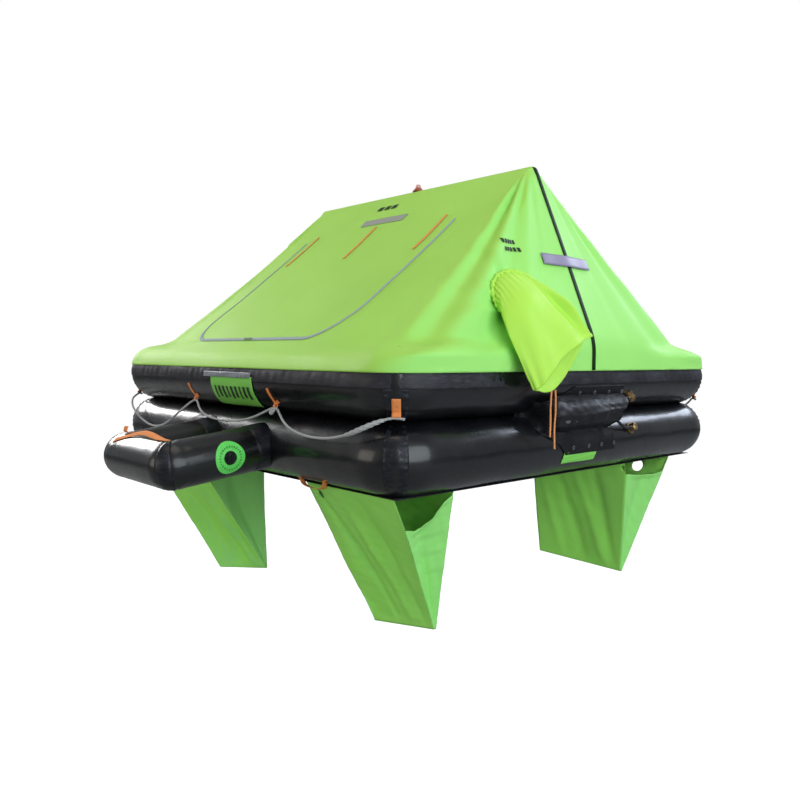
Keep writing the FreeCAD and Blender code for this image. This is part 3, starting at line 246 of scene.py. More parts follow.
patchy = add(skin, "Math", {"operation": "MULTIPLY"}, n0=broad.outputs["Fac"], n1=scuffs.outputs["Fac"])
mask = ranged(skin, patchy.outputs[0], 0.22, 0.42, 0.0, source.outputs["Dust Amount"])
skin.links.new(blended(skin, mask, source.outputs["Tone"], source.outputs["Dust"]), target.inputs["Color"])
gloss = ranged(skin, broad.outputs["Fac"], 0.35, 0.7, source.outputs["Smooth"], source.outputs["Rough"])
skin.links.new(gloss, target.inputs["Roughness"])
relief = add(skin, "Math", {"operation": "MULTIPLY_ADD"}, n0=grains.outputs["Fac"], n1=0.12,
             n2=broad.outputs["Fac"])
skin.links.new(relief.outputs[0], target.inputs["Height"])
print("coated skin", len(skin.nodes), "nodes")

# %% Woven cloth
cloth = new_group("woven_cloth", [
    ("Tone", COLOUR, (0.4, 0.8, 0.15, 1)), ("Faded", COLOUR, (0.5, 0.85, 0.25, 1)),
    ("End Tone", COLOUR, (0.4, 0.8, 0.15, 1)), ("End Share", FLOAT, 0.0),
    ("Thread Scale", FLOAT, 700.0), ("Crease Scale", FLOAT, 9.0),
    ("Smooth", FLOAT, 0.45), ("Rough", FLOAT, 0.65)])
inside = add(cloth, "TexCoord")
source = cloth.nodes.new("NodeGroupInput")
target = cloth.nodes.new("NodeGroupOutput")
threads = []
for direction in ("X", "Z"):
    band = add(cloth, "TexWave", {"bands_direction": direction}, Vector=inside.outputs["Object"],
               Scale=source.outputs["Thread Scale"], Distortion=0.4)
    threads.append(band.outputs["Fac"])
weave = add(cloth, "Math", {"operation": "MAXIMUM"}, n0=threads[0], n1=threads[1])
patches = add(cloth, "TexNoise", Vector=inside.outputs["Object"], Scale=2.2, Detail=5.0, Roughness=0.6)
mask = ranged(cloth, patches.outputs["Fac"], 0.35, 0.7, 0.0, 1.0)
worn = blended(cloth, mask, source.outputs["Tone"], source.outputs["Faded"])
# Faces turned along X, the gables and the bags' ends, take a second tone: the light that falls on them from
# the gable's side is painted into their colour.
facing = add(cloth, "SeparateXYZ", Vector=inside.outputs["Normal"])
endwise_light = add(cloth, "Math", {"operation": "ABSOLUTE"}, n0=facing.outputs["X"])
share = ranged(cloth, endwise_light.outputs[0], 0.35, 0.85, 0.0, source.outputs["End Share"])
cloth.links.new(blended(cloth, share, worn, source.outputs["End Tone"]), target.inputs["Color"])
creases = add(cloth, "TexNoise", {"noise_type": "RIDGED_MULTIFRACTAL"}, Vector=inside.outputs["Object"],
              Scale=source.outputs["Crease Scale"], Detail=2.0, Roughness=0.4)
soft = ranged(cloth, creases.outputs["Fac"], 0.0, 2.0, 0.0, 1.0)
rise = add(cloth, "Math", {"operation": "MULTIPLY_ADD"}, n0=weave.outputs[0], n1=0.05, n2=soft)
cloth.links.new(rise.outputs[0], target.inputs["Height"])
gloss = ranged(cloth, patches.outputs["Fac"], 0.3, 0.7, source.outputs["Smooth"], source.outputs["Rough"])
cloth.links.new(gloss, target.inputs["Roughness"])
print("woven cloth", len(cloth.nodes), "nodes")

# %% Braided strands
braid = new_group("braided_strands", [
    ("Tone", COLOUR, (0.8, 0.8, 0.8, 1)), ("Groove", COLOUR, (0.3, 0.3, 0.3, 1)),
    ("Strand Scale", FLOAT, 90.0)])
inside = add(braid, "TexCoord")
source = braid.nodes.new("NodeGroupInput")
target = braid.nodes.new("NodeGroupOutput")
bands = []
for direction in (1.0, -1.0):
    slant = add(braid, "Mapping", Vector=inside.outputs["Object"], Scale=(1.0, 1.0, direction))
    band = add(braid, "TexWave", {"bands_direction": "DIAGONAL"}, Vector=slant.outputs[0],
               Scale=source.outputs["Strand Scale"], Distortion=0.2)
    bands.append(band.outputs["Fac"])
# Where the two slants part, the groove colour darkens the gaps: painted shade between the strands.
crossed = add(braid, "Math", {"operation": "MULTIPLY"}, n0=bands[0], n1=bands[1])
mask = ranged(braid, crossed.outputs[0], 0.0, 0.35, 0.0, 1.0)
strand_colour = blended(braid, mask, source.outputs["Groove"], source.outputs["Tone"])
braid.links.new(strand_colour, target.inputs["Color"])
braid.links.new(ranged(braid, crossed.outputs[0], 0.0, 1.0, 0.8, 0.6), target.inputs["Roughness"])
braid.links.new(crossed.outputs[0], target.inputs["Height"])
print("braided strands", len(braid.nodes), "nodes")

# %% [markdown]
# ## Materials
# A material is a Principled shader fed by one of the effects. The bump distance is in metres, so
# a thread stands a tenth of a millimetre proud and a crease of the canopy a few millimetres.

# %% Materials from the effects
def linear(hex_colour):
    """Shader colour of a six-digit screen colour."""
    channels = [int(hex_colour[i:i + 2], 16) / 255 for i in (0, 2, 4)]
    return tuple(c / 12.92 if c <= 0.04045 else ((c + 0.055) / 1.055) ** 2.4 for c in channels) + (1.0,)


def soft_material(name, effect, bump, shader=None, **values):
    """Principled material whose colour, roughness and bump come from one effect."""
    material = bpy.data.materials.new(name)
    material.use_nodes = True
    tree = material.node_tree
    principled = tree.nodes["Principled BSDF"]
    group = tree.nodes.new("ShaderNodeGroup")
    group.node_tree = effect
    for key, value in values.items():
        group.inputs[key.replace("_", " ")].default_value = value
    height = tree.nodes.new("ShaderNodeBump")
    height.inputs["Strength"].default_value = 1.0
    height.inputs["Distance"].default_value = bump
    tree.links.new(group.outputs["Color"], principled.inputs["Base Color"])
    tree.links.new(group.outputs["Roughness"], principled.inputs["Roughness"])
    tree.links.new(group.outputs["Height"], height.inputs["Height"])
    tree.links.new(height.outputs["Normal"], principled.inputs["Normal"])
    for key, value in (shader or {}).items():
        principled.inputs[key].default_value = value
    return material


def hard_material(name, tone, roughness, metallic=0.0, grain=180.0, bump=0.0002, **shader):
    """Principled material of a hard piece: plain colour with a mottled gloss and fine grain."""
    material = bpy.data.materials.new(name)
    material.use_nodes = True
    tree = material.node_tree
    principled = tree.nodes["Principled BSDF"]
    principled.inputs["Metallic"].default_value = metallic
    place = add(tree, "TexCoord")
    speckle = add(tree, "TexNoise", Vector=place.outputs["Object"], Scale=grain, Detail=4.0)
    shade = add(tree, "ValToRGB", n0=speckle.outputs["Fac"])
    shade.color_ramp.elements[0].color = tuple(0.75 * c for c in tone[:3]) + (1.0,)
    shade.color_ramp.elements[1].color = tone
    tree.links.new(shade.outputs[0], principled.inputs["Base Color"])
    tree.links.new(ranged(tree, speckle.outputs["Fac"], 0.3, 0.7, roughness * 0.8, roughness * 1.2),
                   principled.inputs["Roughness"])
    height = add(tree, "Bump", Height=speckle.outputs["Fac"], Distance=bump)
    tree.links.new(height.outputs["Normal"], principled.inputs["Normal"])
    for key, value in shader.items():
        principled.inputs[key.replace("_", " ")].default_value = value
    return material


TUBE_SHEEN = {"Specular IOR Level": 0.45, "Coat Weight": 0.35, "Coat Roughness": 0.12}
tube_rubber = soft_material(
    "tube_rubber", skin, 0.0018, TUBE_SHEEN, Tone=linear("0B0B0F"), Dust=linear("24242B"),
    Dust_Amount=0.3, Smooth=0.24, Rough=0.42, Patch_Scale=4.0)
tape_rubber = soft_material(
    "tape_rubber", skin, 0.0014, {"Specular IOR Level": 0.4}, Tone=linear("101118"), Dust=linear("3A3B46"),
    Dust_Amount=0.6, Smooth=0.28, Rough=0.5, Patch_Scale=16.0)
band_rubber = soft_material(
    "band_rubber", skin, 0.003, {"Specular IOR Level": 0.35}, Tone=linear("222128"), Dust=linear("45444C"),
    Dust_Amount=0.7, Smooth=0.4, Rough=0.6, Patch_Scale=9.0)
pouch_rubber = soft_material(
    "pouch_rubber", skin, 0.003, {"Specular IOR Level": 0.28}, Tone=linear("0D0C10"), Dust=linear("2A272D"),
    Dust_Amount=0.5, Smooth=0.42, Rough=0.62, Patch_Scale=8.0)
# The gables' lighter, cooler tone is painted light from the gable's side.
canopy_cloth = soft_material(
    "canopy_cloth", cloth, 0.004, {"Specular IOR Level": 0.25}, Tone=linear("ACE260"), Faded=linear("B2E868"),
    End_Tone=linear("AAF27C"), End_Share=1.0, Crease_Scale=5.0)
# The sleeve's tone is the canopy's green shifted yellower: painted light that shines through its two layers
# of cloth.
sleeve_cloth = soft_material(
    "sleeve_cloth", cloth, 0.004, {"Specular IOR Level": 0.25}, Tone=linear("BAF252"), Faded=linear("C6F668"),
    Crease_Scale=10.0)
# The bags' ends take a paler, cooler tone painted for the light from the gable's side.
bag_cloth = soft_material(
    "bag_cloth", cloth, 0.005, {"Specular IOR Level": 0.3}, Tone=linear("A8FF6A"), Faded=linear("B2FF78"),
    End_Tone=linear("A2F282"), End_Share=1.0, Crease_Scale=7.0)
floor_cloth = soft_material(
    "floor_cloth", cloth, 0.003, None, Tone=linear("17181C"), Faded=linear("222329"), Crease_Scale=6.0)
label_cloth = soft_material(
    "label_cloth", cloth, 0.001, {"Specular IOR Level": 0.3}, Tone=linear("86D85C"), Faded=linear("8FE264"),
    Crease_Scale=12.0)
# The darker groove colours of webbing, rope, cord and zip tape are painted shade between their strands.
orange_webbing = soft_material(
    "orange_webbing", braid, 0.0006, {"Specular IOR Level": 0.2}, Tone=linear("FFA868"),
    Groove=linear("F28A48"), Strand_Scale=160.0)
white_rope = soft_material(
    "white_rope", braid, 0.0012, {"Specular IOR Level": 0.2}, Tone=linear("D9D9D6"),
    Groove=linear("86868A"), Strand_Scale=70.0)
orange_cord = soft_material(
    "orange_cord", braid, 0.0006, {"Specular IOR Level": 0.2}, Tone=linear("FFB27A"),
    Groove=linear("EE9250"), Strand_Scale=120.0)
seam_tape = soft_material(
    "seam_tape", cloth, 0.0006, {"Specular IOR Level": 0.1, "Sheen Weight": 0.0},
    Tone=linear("10260F"), Faded=linear("173214"), Crease_Scale=20.0)
zip_tape = soft_material(
    "zip_tape", braid, 0.0006, {"Specular IOR Level": 0.3}, Tone=linear("BCC6D0"),
    Groove=linear("98A4B2"), Strand_Scale=220.0)
reflector = hard_material("reflector", linear("9D93B4"), 0.45, grain=900.0, bump=0.0001)
grey_strip = hard_material("grey_strip", linear("A9AEA4"), 0.5, grain=700.0, bump=0.0001)
clear_tape = hard_material("clear_tape", linear("8F949E"), 0.3, grain=60.0, bump=0.0006)
print_black = hard_material("print_black", linear("1F3B18"), 0.6, grain=400.0, bump=0.00005)
ring_green = hard_material("ring_green", linear("72F06C"), 0.4, grain=90.0, bump=0.0001)
ring_print = hard_material("ring_print", linear("35A23A"), 0.5, grain=200.0, bump=0.00005)
black_plastic = hard_material("black_plastic", linear("121216"), 0.3, grain=150.0, bump=0.0001)
brass = hard_material("brass", linear("A08660"), 0.42, 1.0, grain=120.0, bump=0.0001)
steel = hard_material("steel", linear("C3C5CA"), 0.25, 1.0, grain=220.0, bump=0.0001)
cylinder_paint = hard_material("cylinder_paint", linear("5C6066"), 0.35, grain=60.0, bump=0.0002)
lamp_red = hard_material("lamp_red", linear("B85A38"), 0.4, grain=200.0, bump=0.0002)
lamp_clear = hard_material("lamp_clear", linear("E8B2A4"), 0.2, grain=90.0, bump=0.0001)
print("materials", len(bpy.data.materials))

# %% [markdown]
# ## Meshes from grids
# Every soft piece here is a grid of points: rows one way, columns the other. A grid keeps even
# quads, so folds can be pushed into it along its normals, and one helper turns it into a mesh.
# The folds are sums of sines with fixed seeds, so the cloth is the same on every run.

# %% Grid helpers
def grid_piece(name, grid, wrap_rows=False, wrap_columns=False, keep=None):
    """Quad mesh of a rows x columns x 3 grid; keep marks the quads that stay."""
    grid = np.asarray(grid, dtype=float)
    rows, columns = grid.shape[:2]
    index = np.arange(rows * columns).reshape(rows, columns)
    across = np.roll(index, -1, axis=1)
    below = np.roll(index, -1, axis=0)
    both = np.roll(below, -1, axis=1)
    quads = np.stack([index, across, both, below], axis=-1)
    if not wrap_rows:
        quads = quads[:-1]
    if not wrap_columns:
        quads = quads[:, :-1]
    quads = quads.reshape(-1, 4)
    if keep is not None:
        middles = grid.reshape(-1, 3)[quads].mean(axis=1)
        quads = quads[keep(middles)]
    mesh = bpy.data.meshes.new(name)
    mesh.from_pydata(grid.reshape(-1, 3).tolist(), [], quads.tolist())
    mesh.validate()
    mesh.polygons.foreach_set("use_smooth", [True] * len(mesh.polygons))
    piece = bpy.data.objects.new(name, mesh)
    bpy.context.collection.objects.link(piece)
    return piece


def grid_normals(grid, wrap_rows=False, wrap_columns=False):
    """Unit normals of a grid from its neighbours' differences."""
    def step(axis, wrap):
        """Way from the point before to the point after, along one axis."""
        if wrap:
            return np.roll(grid, -1, axis=axis) - np.roll(grid, 1, axis=axis)
        return np.gradient(grid, axis=axis)
    normal = np.cross(step(1, wrap_columns), step(0, wrap_rows))
    length = np.linalg.norm(normal, axis=-1, keepdims=True)
    return normal / np.maximum(length, 1e-9)


def waves(points, length, seed, count=6):
    """Smooth ripples of about the given wavelength, from -1 to 1."""
    chance = np.random.default_rng(seed)
    total = np.zeros(points.shape[:-1])
    for _ in range(count):
        way = chance.normal(size=3)
        way /= np.linalg.norm(way)
        pace = 2 * math.pi / (length * chance.uniform(0.7, 1.5))
        total += np.sin(points @ way * pace + chance.uniform(0, 2 * math.pi))
    return total / count * 1.6


def bell(values, middle, width):
    """Smooth bump of height 1 about a middle."""
    return np.exp(-((values - middle) / width) ** 2)


def settle(piece, material, slot, *nodes, thickness=0.0, body="raft"):
    """Give a finished piece its material, its body and the construction nodes it stands for."""
    piece.data.materials.append(material)
    if thickness:
        solid = piece.modifiers.new("thickness", "SOLIDIFY")
        solid.thickness = thickness
        solid.offset = 0
    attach(piece, body)
    if nodes:
        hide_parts(*nodes)
    return piece


# %% [markdown]
# ## Buoyancy tubes
# The two rings are tubes bent round rounded rectangles. The offset of a rounded rectangle is another
# one, so each row of the grid is a loop at its own distance from the tube's centre line, and on the
# inside of the corners the loops close into the crease that a mitred tube has. Air pressure keeps the
# runs smooth, while the corners pucker along the glued mitre.

# %% Places of the tubes
tube_low, tube_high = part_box("lower_tube")
TUBE_RADIUS = (tube_high[2] - tube_low[2]) / 2
LINE_X = tube_high[0] - TUBE_RADIUS
LINE_Y = tube_high[1] - TUBE_RADIUS
LOWER_LEVEL = (tube_low[2] + tube_high[2]) / 2
UPPER_LEVEL = (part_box("upper_tube")[0][2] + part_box("upper_tube")[1][2]) / 2
CORNER_BEND = 0.065
print("tube radius", round(TUBE_RADIUS, 3), "lines", round(LINE_X, 3), round(LINE_Y, 3))


def rounded_loop(half_x, half_y, radius, straight=96, bend=12):
    """Closed loop of points round a rectangle with round corners, from its +X, -Y corner."""
    reach_x = half_x - radius
    reach_y = half_y - radius
    runs = np.linspace(0, 1, straight, endpoint=False)
    arcs = np.linspace(0, math.pi / 2, bend, endpoint=False)
    points = []
    for quarter in range(4):
        facing = quarter * math.pi / 2
        out = np.array([math.cos(facing), math.sin(facing)])
        left = np.array([-out[1], out[0]])
        far = reach_x if quarter % 2 == 0 else reach_y
        side = reach_y if quarter % 2 == 0 else reach_x
        base = out * (far + radius)
        points.append(base + np.outer(side * (2 * runs - 1), left))
        centre = out * far + left * side
        points.append(centre + radius * (np.outer(np.cos(arcs), out) + np.outer(np.sin(arcs), left)))
    return np.vstack(points)


def tube_rows(level, grow, angles, straight=96, bend=12):
    """Rows of a ring tube's skin at the given angles round its section."""
    rows = []
    for angle in angles:
        out = (TUBE_RADIUS + grow) * math.cos(angle)
        height = level + (TUBE_RADIUS + grow) * math.sin(angle)
        loop = rounded_loop(LINE_X + out, LINE_Y + out, max(CORNER_BEND + out, 0.001), straight, bend)
        rows.append(np.column_stack([loop, np.full(len(loop), height)]))
    return np.array(rows)


def from_mitre(grid):
    """Distance of each point from the nearest corner's mitre plane, along the tube."""
    middle_x = LINE_X - CORNER_BEND
    middle_y = LINE_Y - CORNER_BEND
    return np.abs((np.abs(grid[..., 0]) - middle_x) - (np.abs(grid[..., 1]) - middle_y)) / math.sqrt(2)


def near_corner(grid, reach):
    """1 at the corners' outsides, fading over a reach along the tube."""
    outside = np.minimum(np.abs(grid[..., 0]) - LINE_X + 0.2, np.abs(grid[..., 1]) - LINE_Y + 0.2) > 0
    return bell(from_mitre(grid), 0, reach) * outside


# %% Tube skins
def buoyancy_tube(name, node, level, seed):
    """One hull tube: a closed grid with slow waves, puckered on its mitres."""
    angles = np.linspace(0, 2 * math.pi, 56, endpoint=False)
    grid = tube_rows(level, 0.0, angles)
    normals = grid_normals(grid, True, True)
    push = 0.0016 * waves(grid, 0.45, seed) + 0.0006 * waves(grid, 0.09, seed + 1)
    pucker = np.sin((grid[..., 2] - level) * 2 * math.pi / 0.028)
    push += near_corner(grid, 0.035) * (0.0012 * pucker) - 0.004 * near_corner(grid, 0.02)
    grid = grid - normals * push[..., None]
    piece = grid_piece(name, grid, True, True)
    return settle(piece, tube_rubber, "tube_rubber", node)


lower_skin = buoyancy_tube("lower_tube_skin", "lower_tube", LOWER_LEVEL, 11)
buoyancy_tube("upper_tube_skin", "upper_tube", UPPER_LEVEL, 23)
print("tubes", len(lower_skin.data.polygons), "quads each")


# %% [markdown]
# The sealing tapes over the mitres and the attachment band under the canopy are cloth-backed
# rubber, glued on by hand: they follow the tube a millimetre proud and wrinkle where they turn.

# %% Corner tapes and attachment band
def corner_tape_set(level, top_angle):
    """Four tapes over one tube's mitres, a grid for each corner."""
    angles = np.linspace(-1.45, top_angle, 60)
    rows = tube_rows(level, 0.0015, angles, 96, 28)
    span = 96 + 28
    parts = []
    for corner in range(4):
        first = corner * span + 96 + 10
        grid = rows[:, first:first + 9]
        normals = grid_normals(grid)
        edge = np.abs(np.linspace(-1, 1, 9))[None, :]
        ripple = np.sin(angles * TUBE_RADIUS * 2 * math.pi / 0.022 + corner)[:, None]
        push = 0.0013 * ripple * edge + 0.0008 * waves(grid, 0.03, 31 + corner)
        parts.append(grid - normals * push[..., None])
    return parts


def joined(name, grids):
    """One object of several separate grids."""
    made = [grid_piece(name + "_part", grid) for grid in grids]
    verts = []
    faces = []
    for part in made:
        shift = len(verts)
        verts.extend(v.co.copy() for v in part.data.vertices)
        faces.extend([i + shift for i in polygon.vertices] for polygon in part.data.polygons)
        bpy.data.objects.remove(part)
    mesh = bpy.data.meshes.new(name)
    mesh.from_pydata(verts, [], faces)
    mesh.polygons.foreach_set("use_smooth", [True] * len(mesh.polygons))
    piece = bpy.data.objects.new(name, mesh)
    bpy.context.collection.objects.link(piece)
    return piece


EDGE_RISE = 0.040
for name, node, level, top_angle in (
        ("lower_mitre_tapes", "lower_corner_tapes", LOWER_LEVEL, 1.2),
        ("upper_mitre_tapes", "upper_corner_tapes", UPPER_LEVEL, -0.1)):
    tapes = joined(name, corner_tape_set(level, top_angle))
    settle(tapes, tape_rubber, "tape_rubber", node, thickness=0.0012)

band_angles = np.linspace(-0.1, math.asin(EDGE_RISE / TUBE_RADIUS) + 0.02, 12)
band_grid = tube_rows(UPPER_LEVEL, 0.0014, band_angles, 160, 12)
band_normals = grid_normals(band_grid, False, True)
fade = np.sin(np.linspace(0.2, math.pi - 0.4, 12))[:, None]
band_push = 0.0016 * waves(band_grid * np.array([1, 1, 0.3]), 0.035, 41) + 0.001 * waves(band_grid, 0.12, 43)
band_grid = band_grid - band_normals * (band_push * fade)[..., None]
band = grid_piece("attachment_band", band_grid, False, True)
settle(band, band_rubber, "tape_rubber", "canopy_skirt_band", thickness=0.0012)
print("attachment band", round(float(band_grid[..., 2].min()), 3), round(float(band_grid[..., 2].max()), 3))

# %% [markdown]
# ## Canopy
# The cover is one closed tent of coated cloth. It is wrapped over the upper tube, hollows slightly
# on its way up to the arch and folds softly at the corners, because the hips have no seam. Each row
# of its grid is again a rounded rectangle, whose sides come from where the cloth leaves the tube
# and meets the arch. Folds radiate from the ridge's ends and from the lookout port.

# %% Canopy outline
ridge_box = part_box("canopy_boarding_side")
arch_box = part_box("canopy_arch")
RIDGE_TOP = ridge_box[1][2]
ARCH_RADIUS = 0.045
ARCH_LEVEL = arch_box[1][2] - ARCH_RADIUS
RIDGE_HALF = 0.735
RIDGE_DROP = 0.012
KINK = 0.534
ROOF_SAG = 0.030
HIP_SAG = 0.105
KINK_SOFT = 0.045
CLOTH_OFF = 0.0035
FOOT_HALF = ridge_box[1][0] - 0.003
TURN_IN = RIDGE_TOP - RIDGE_DROP

low_radius = TUBE_RADIUS + CLOTH_OFF
high_radius = ARCH_RADIUS + CLOTH_OFF
low_point = np.array([LINE_Y, UPPER_LEVEL])
high_point = np.array([0.0, ARCH_LEVEL])
along = high_point - low_point
span = np.linalg.norm(along)
along = along / span
lean = (low_radius - high_radius) / span
roof_normal = along * lean + np.array([along[1], -along[0]]) * math.sqrt(1 - lean ** 2)
leave = low_point + roof_normal * low_radius
meet = high_point + roof_normal * high_radius
print("cloth leaves the tube at", leave.round(3), "and meets the arch at", meet.round(3))


def roof_half(height):
    """Half width of the canopy across Y."""
    if height <= leave[1]:
        return low_point[0] + math.sqrt(max(low_radius ** 2 - (height - low_point[1]) ** 2, 0))
    if height >= meet[1]:
        return math.sqrt(max(high_radius ** 2 - (height - high_point[1]) ** 2, 1e-8))
    share = (height - leave[1]) / (meet[1] - leave[1])
    return leave[0] + (meet[0] - leave[0]) * share - 4 * ROOF_SAG * share * (1 - share)


def gable_half(height):
    """Half length of the canopy along X: upright to the kink, then leaning in to the ridge."""
    if height <= KINK - KINK_SOFT:
        return FOOT_HALF
    lean_in = (FOOT_HALF - RIDGE_HALF) / (TURN_IN - KINK)
    if height <= KINK + KINK_SOFT:
        return FOOT_HALF - lean_in * (height - KINK + KINK_SOFT) ** 2 / (4 * KINK_SOFT)
    if height <= TURN_IN:
        return FOOT_HALF - lean_in * (height - KINK)
    return RIDGE_HALF - (height - TURN_IN)


def fold_radius(height):
    """Radius of the soft corner between roof and gable."""
    start = CORNER_BEND + math.sqrt(low_radius ** 2 - (leave[1] - low_point[1]) ** 2)
    if height <= leave[1]:
        return CORNER_BEND + math.sqrt(max(low_radius ** 2 - (height - low_point[1]) ** 2, 0))
    share = min(1.0, (height - leave[1]) / (meet[1] - leave[1]))
    return min(start + (high_radius - start) * share, roof_half(height) - 0.002)


edge_angle = math.asin(EDGE_RISE / low_radius)
wrap_angles = np.linspace(edge_angle, math.asin((leave[1] - low_point[1]) / low_radius), 12)
ridge_angles = np.linspace(math.asin((meet[1] - high_point[1]) / high_radius), math.pi / 2 - 0.08, 8)
levels = list(low_point[1] + low_radius * np.sin(wrap_angles))
levels += list(np.linspace(leave[1], meet[1], 74)[1:-1])
levels += list(high_point[1] + high_radius * np.sin(ridge_angles))
canopy_grid = []
for height in levels:
    loop = rounded_loop(gable_half(height), roof_half(height), max(fold_radius(height), 0.002), 96, 14)
    canopy_grid.append(np.column_stack([loop, np.full(len(loop), height)]))
canopy_grid = np.array(canopy_grid)


def eased(values, start, end):
    """From 0 at start to 1 at end, with soft shoulders."""
    share = np.clip((values - start) / (end - start), 0, 1)
    return share * share * (3 - 2 * share)


# The arch pushes the gable out only at its middle. At the hips the cloth hangs straight from the
# ridge's end and flares out over the tube, never inside it.
def hip_sag(height):
    """How far the cloth of the hips comes in at a height, most of it low down."""
    rise = np.clip((height - leave[1]) / (meet[1] - leave[1]), 0, 1)
    return HIP_SAG * (1 - rise) * eased(height, leave[1] - 0.01, leave[1] + 0.06)


def free_of_tube(half, height, line):
    """How far the cloth may come in at a height before it meets the tube."""
    reach = np.sqrt(np.clip(low_radius ** 2 - (height - UPPER_LEVEL) ** 2, 0, None))
    return np.where(reach > 0, np.maximum(half - line - reach, 0), 1.0)


def gable_x(side, height):
    """Where the gable's cloth stands at a place across the canopy and a height."""
    half = np.vectorize(gable_half)(height)
    rise = np.clip((height - leave[1]) / (TURN_IN - leave[1]), 0, 1)
    straight = FOOT_HALF + (RIDGE_HALF - FOOT_HALF) * rise
    share = eased(np.abs(side) / np.vectorize(roof_half)(height), 0.35, 1.0)
    pull = (np.maximum(half - straight, 0) + 0.6 * hip_sag(height)) * share
    return half - np.minimum(pull, free_of_tube(half, height, LINE_X))


heights = np.repeat(np.array(levels)[:, None], canopy_grid.shape[1], axis=1)
half_x = np.vectorize(gable_half)(heights)
half_y = np.vectorize(roof_half)(heights)
sideways = canopy_grid[..., 0] / half_x
pull_y = np.minimum(hip_sag(heights) * eased(np.abs(sideways), 0.50, 1.0),
                    free_of_tube(half_y, heights, LINE_Y))
canopy_grid[..., 0] = sideways * gable_x(canopy_grid[..., 1], heights)
canopy_grid[..., 1] *= 1 - np.minimum(pull_y / half_y, 0.5)
print("canopy grid", canopy_grid.shape, "top", round(levels[-1], 3))

# %% Canopy folds
def hip_folds(grid):
    """Soft folds that fan out from the ridge's ends down the hips and gables."""
    from_end = np.abs(grid[..., 0]) - (RIDGE_HALF - 0.04)
    fan = np.degrees(np.arctan2(np.abs(grid[..., 1]), np.maximum(from_end, 1e-4)))
    down = RIDGE_TOP - grid[..., 2]
    reach = np.clip(down / 0.15, 0, 1) * np.clip((grid[..., 2] - 0.44) / 0.12, 0, 1)
    front = np.where(grid[..., 0] > 0, 1.0, 0.8)
    folds = 0.010 * bell(fan, 80, 3.0) - 0.012 * bell(fan, 74.5, 3.5) + 0.009 * bell(fan, 67, 3.5)
    folds += -0.008 * bell(fan, 60, 4.0) + 0.004 * bell(fan, 50, 4.0) - 0.003 * bell(fan, 38, 5.0)
    return 1.35 * folds * reach * front


def slack(grid):
    """Hollow of the gables and the long slow waves of cloth under its own weight."""
    up = np.clip((grid[..., 2] - 0.42) / (RIDGE_TOP - 0.42), 0, 1)
    belly = -0.010 * np.sin(up * math.pi) * bell(grid[..., 1], 0, 0.5) * (np.abs(grid[..., 0]) > RIDGE_HALF)
    return belly + 0.003 * waves(grid, 0.6, 51) * np.sin(up * math.pi)


def hem_puckers(grid):
    """Small upright puckers where the cloth is gathered to its band."""
    rise = grid[..., 2] - levels[0]
    gathers = waves(grid * np.array([1, 1, 0.15]), 0.085, 61)
    return 0.0022 * gathers * np.exp(-rise / 0.05) * np.clip(rise / 0.01, 0, 1)


PORT_SIDE = -0.368
PORT_HEIGHT = 0.670
PORT_RADIUS = 0.132


def port_folds(grid):
    """Creases that the sleeve's weight pulls out of the gable."""
    out = grid[..., 1] - PORT_SIDE
    up = grid[..., 2] - PORT_HEIGHT
    around = np.degrees(np.arctan2(up, out))
    away = np.hypot(out, up)
    reach = np.exp(-np.clip(away - PORT_RADIUS, 0, None) / 0.22) * (grid[..., 0] > 0.6)
    folds = 0.009 * bell(around, 96, 7) - 0.007 * bell(around, 112, 8) + 0.010 * bell(np.abs(around), 168, 6)
    folds += -0.008 * bell(around, -152, 9) + 0.006 * bell(around, -128, 8) - 0.005 * bell(around, 62, 9)
    return folds * reach


# The cloth stays smooth in three places: along the zip's straight foot, where the sliders run, at
# the ridge, and up the middle of each gable, where it lies on the arch.
TRACK_HEIGHT, TRACK_HALF = 0.533, 0.40
track = (bell(canopy_grid[..., 2], TRACK_HEIGHT, 0.03) * (canopy_grid[..., 1] < 0)
         * (np.abs(canopy_grid[..., 0]) < TRACK_HALF))
near_ridge = np.clip((RIDGE_TOP - 0.02 - canopy_grid[..., 2]) / 0.06, 0, 1)
push = hip_folds(canopy_grid) + slack(canopy_grid) + hem_puckers(canopy_grid) + port_folds(canopy_grid)
push += 0.0012 * waves(canopy_grid, 0.16, 71)
on_arch = bell(canopy_grid[..., 1], 0.0, 0.06) * (np.abs(canopy_grid[..., 0]) > RIDGE_HALF)
push *= near_ridge * (1 - track) * (1 - on_arch)
outward = grid_normals(canopy_grid, False, True)
flip = np.sign(np.sum(outward * (canopy_grid - np.array([0, 0, 0.5])), axis=-1, keepdims=True))
canopy_grid = canopy_grid + outward * flip * push[..., None]

# Where a fold would sink into the tube, the cloth lies on the rubber instead.
tube_mesh = bpy.data.objects["upper_tube_skin"].data
tube_tree = BVHTree.FromPolygons([v.co for v in tube_mesh.vertices],
                                 [tuple(p.vertices) for p in tube_mesh.polygons])
lifted = 0
for row, height in enumerate(levels):
    if height > UPPER_LEVEL + TUBE_RADIUS + 0.05:
        break
    for column in range(canopy_grid.shape[1]):
        point = Vector(canopy_grid[row, column])
        spot, normal, _, _ = tube_tree.find_nearest(point)
        away = (point - spot).dot(normal)
        if away < CLOTH_OFF:
            canopy_grid[row, column] = spot + normal * CLOTH_OFF
            lifted += 1
print("cloth resting on the tube at", lifted, "points")
print("folds from", round(float(push.min()), 4), "to", round(float(push.max()), 4))


def outside_port(middles):
    """Quads of the canopy outside the lookout port's hole."""
    away = np.hypot(middles[:, 1] - PORT_SIDE, middles[:, 2] - PORT_HEIGHT)
    return (away > PORT_RADIUS - 0.030) | (middles[:, 0] < 0)


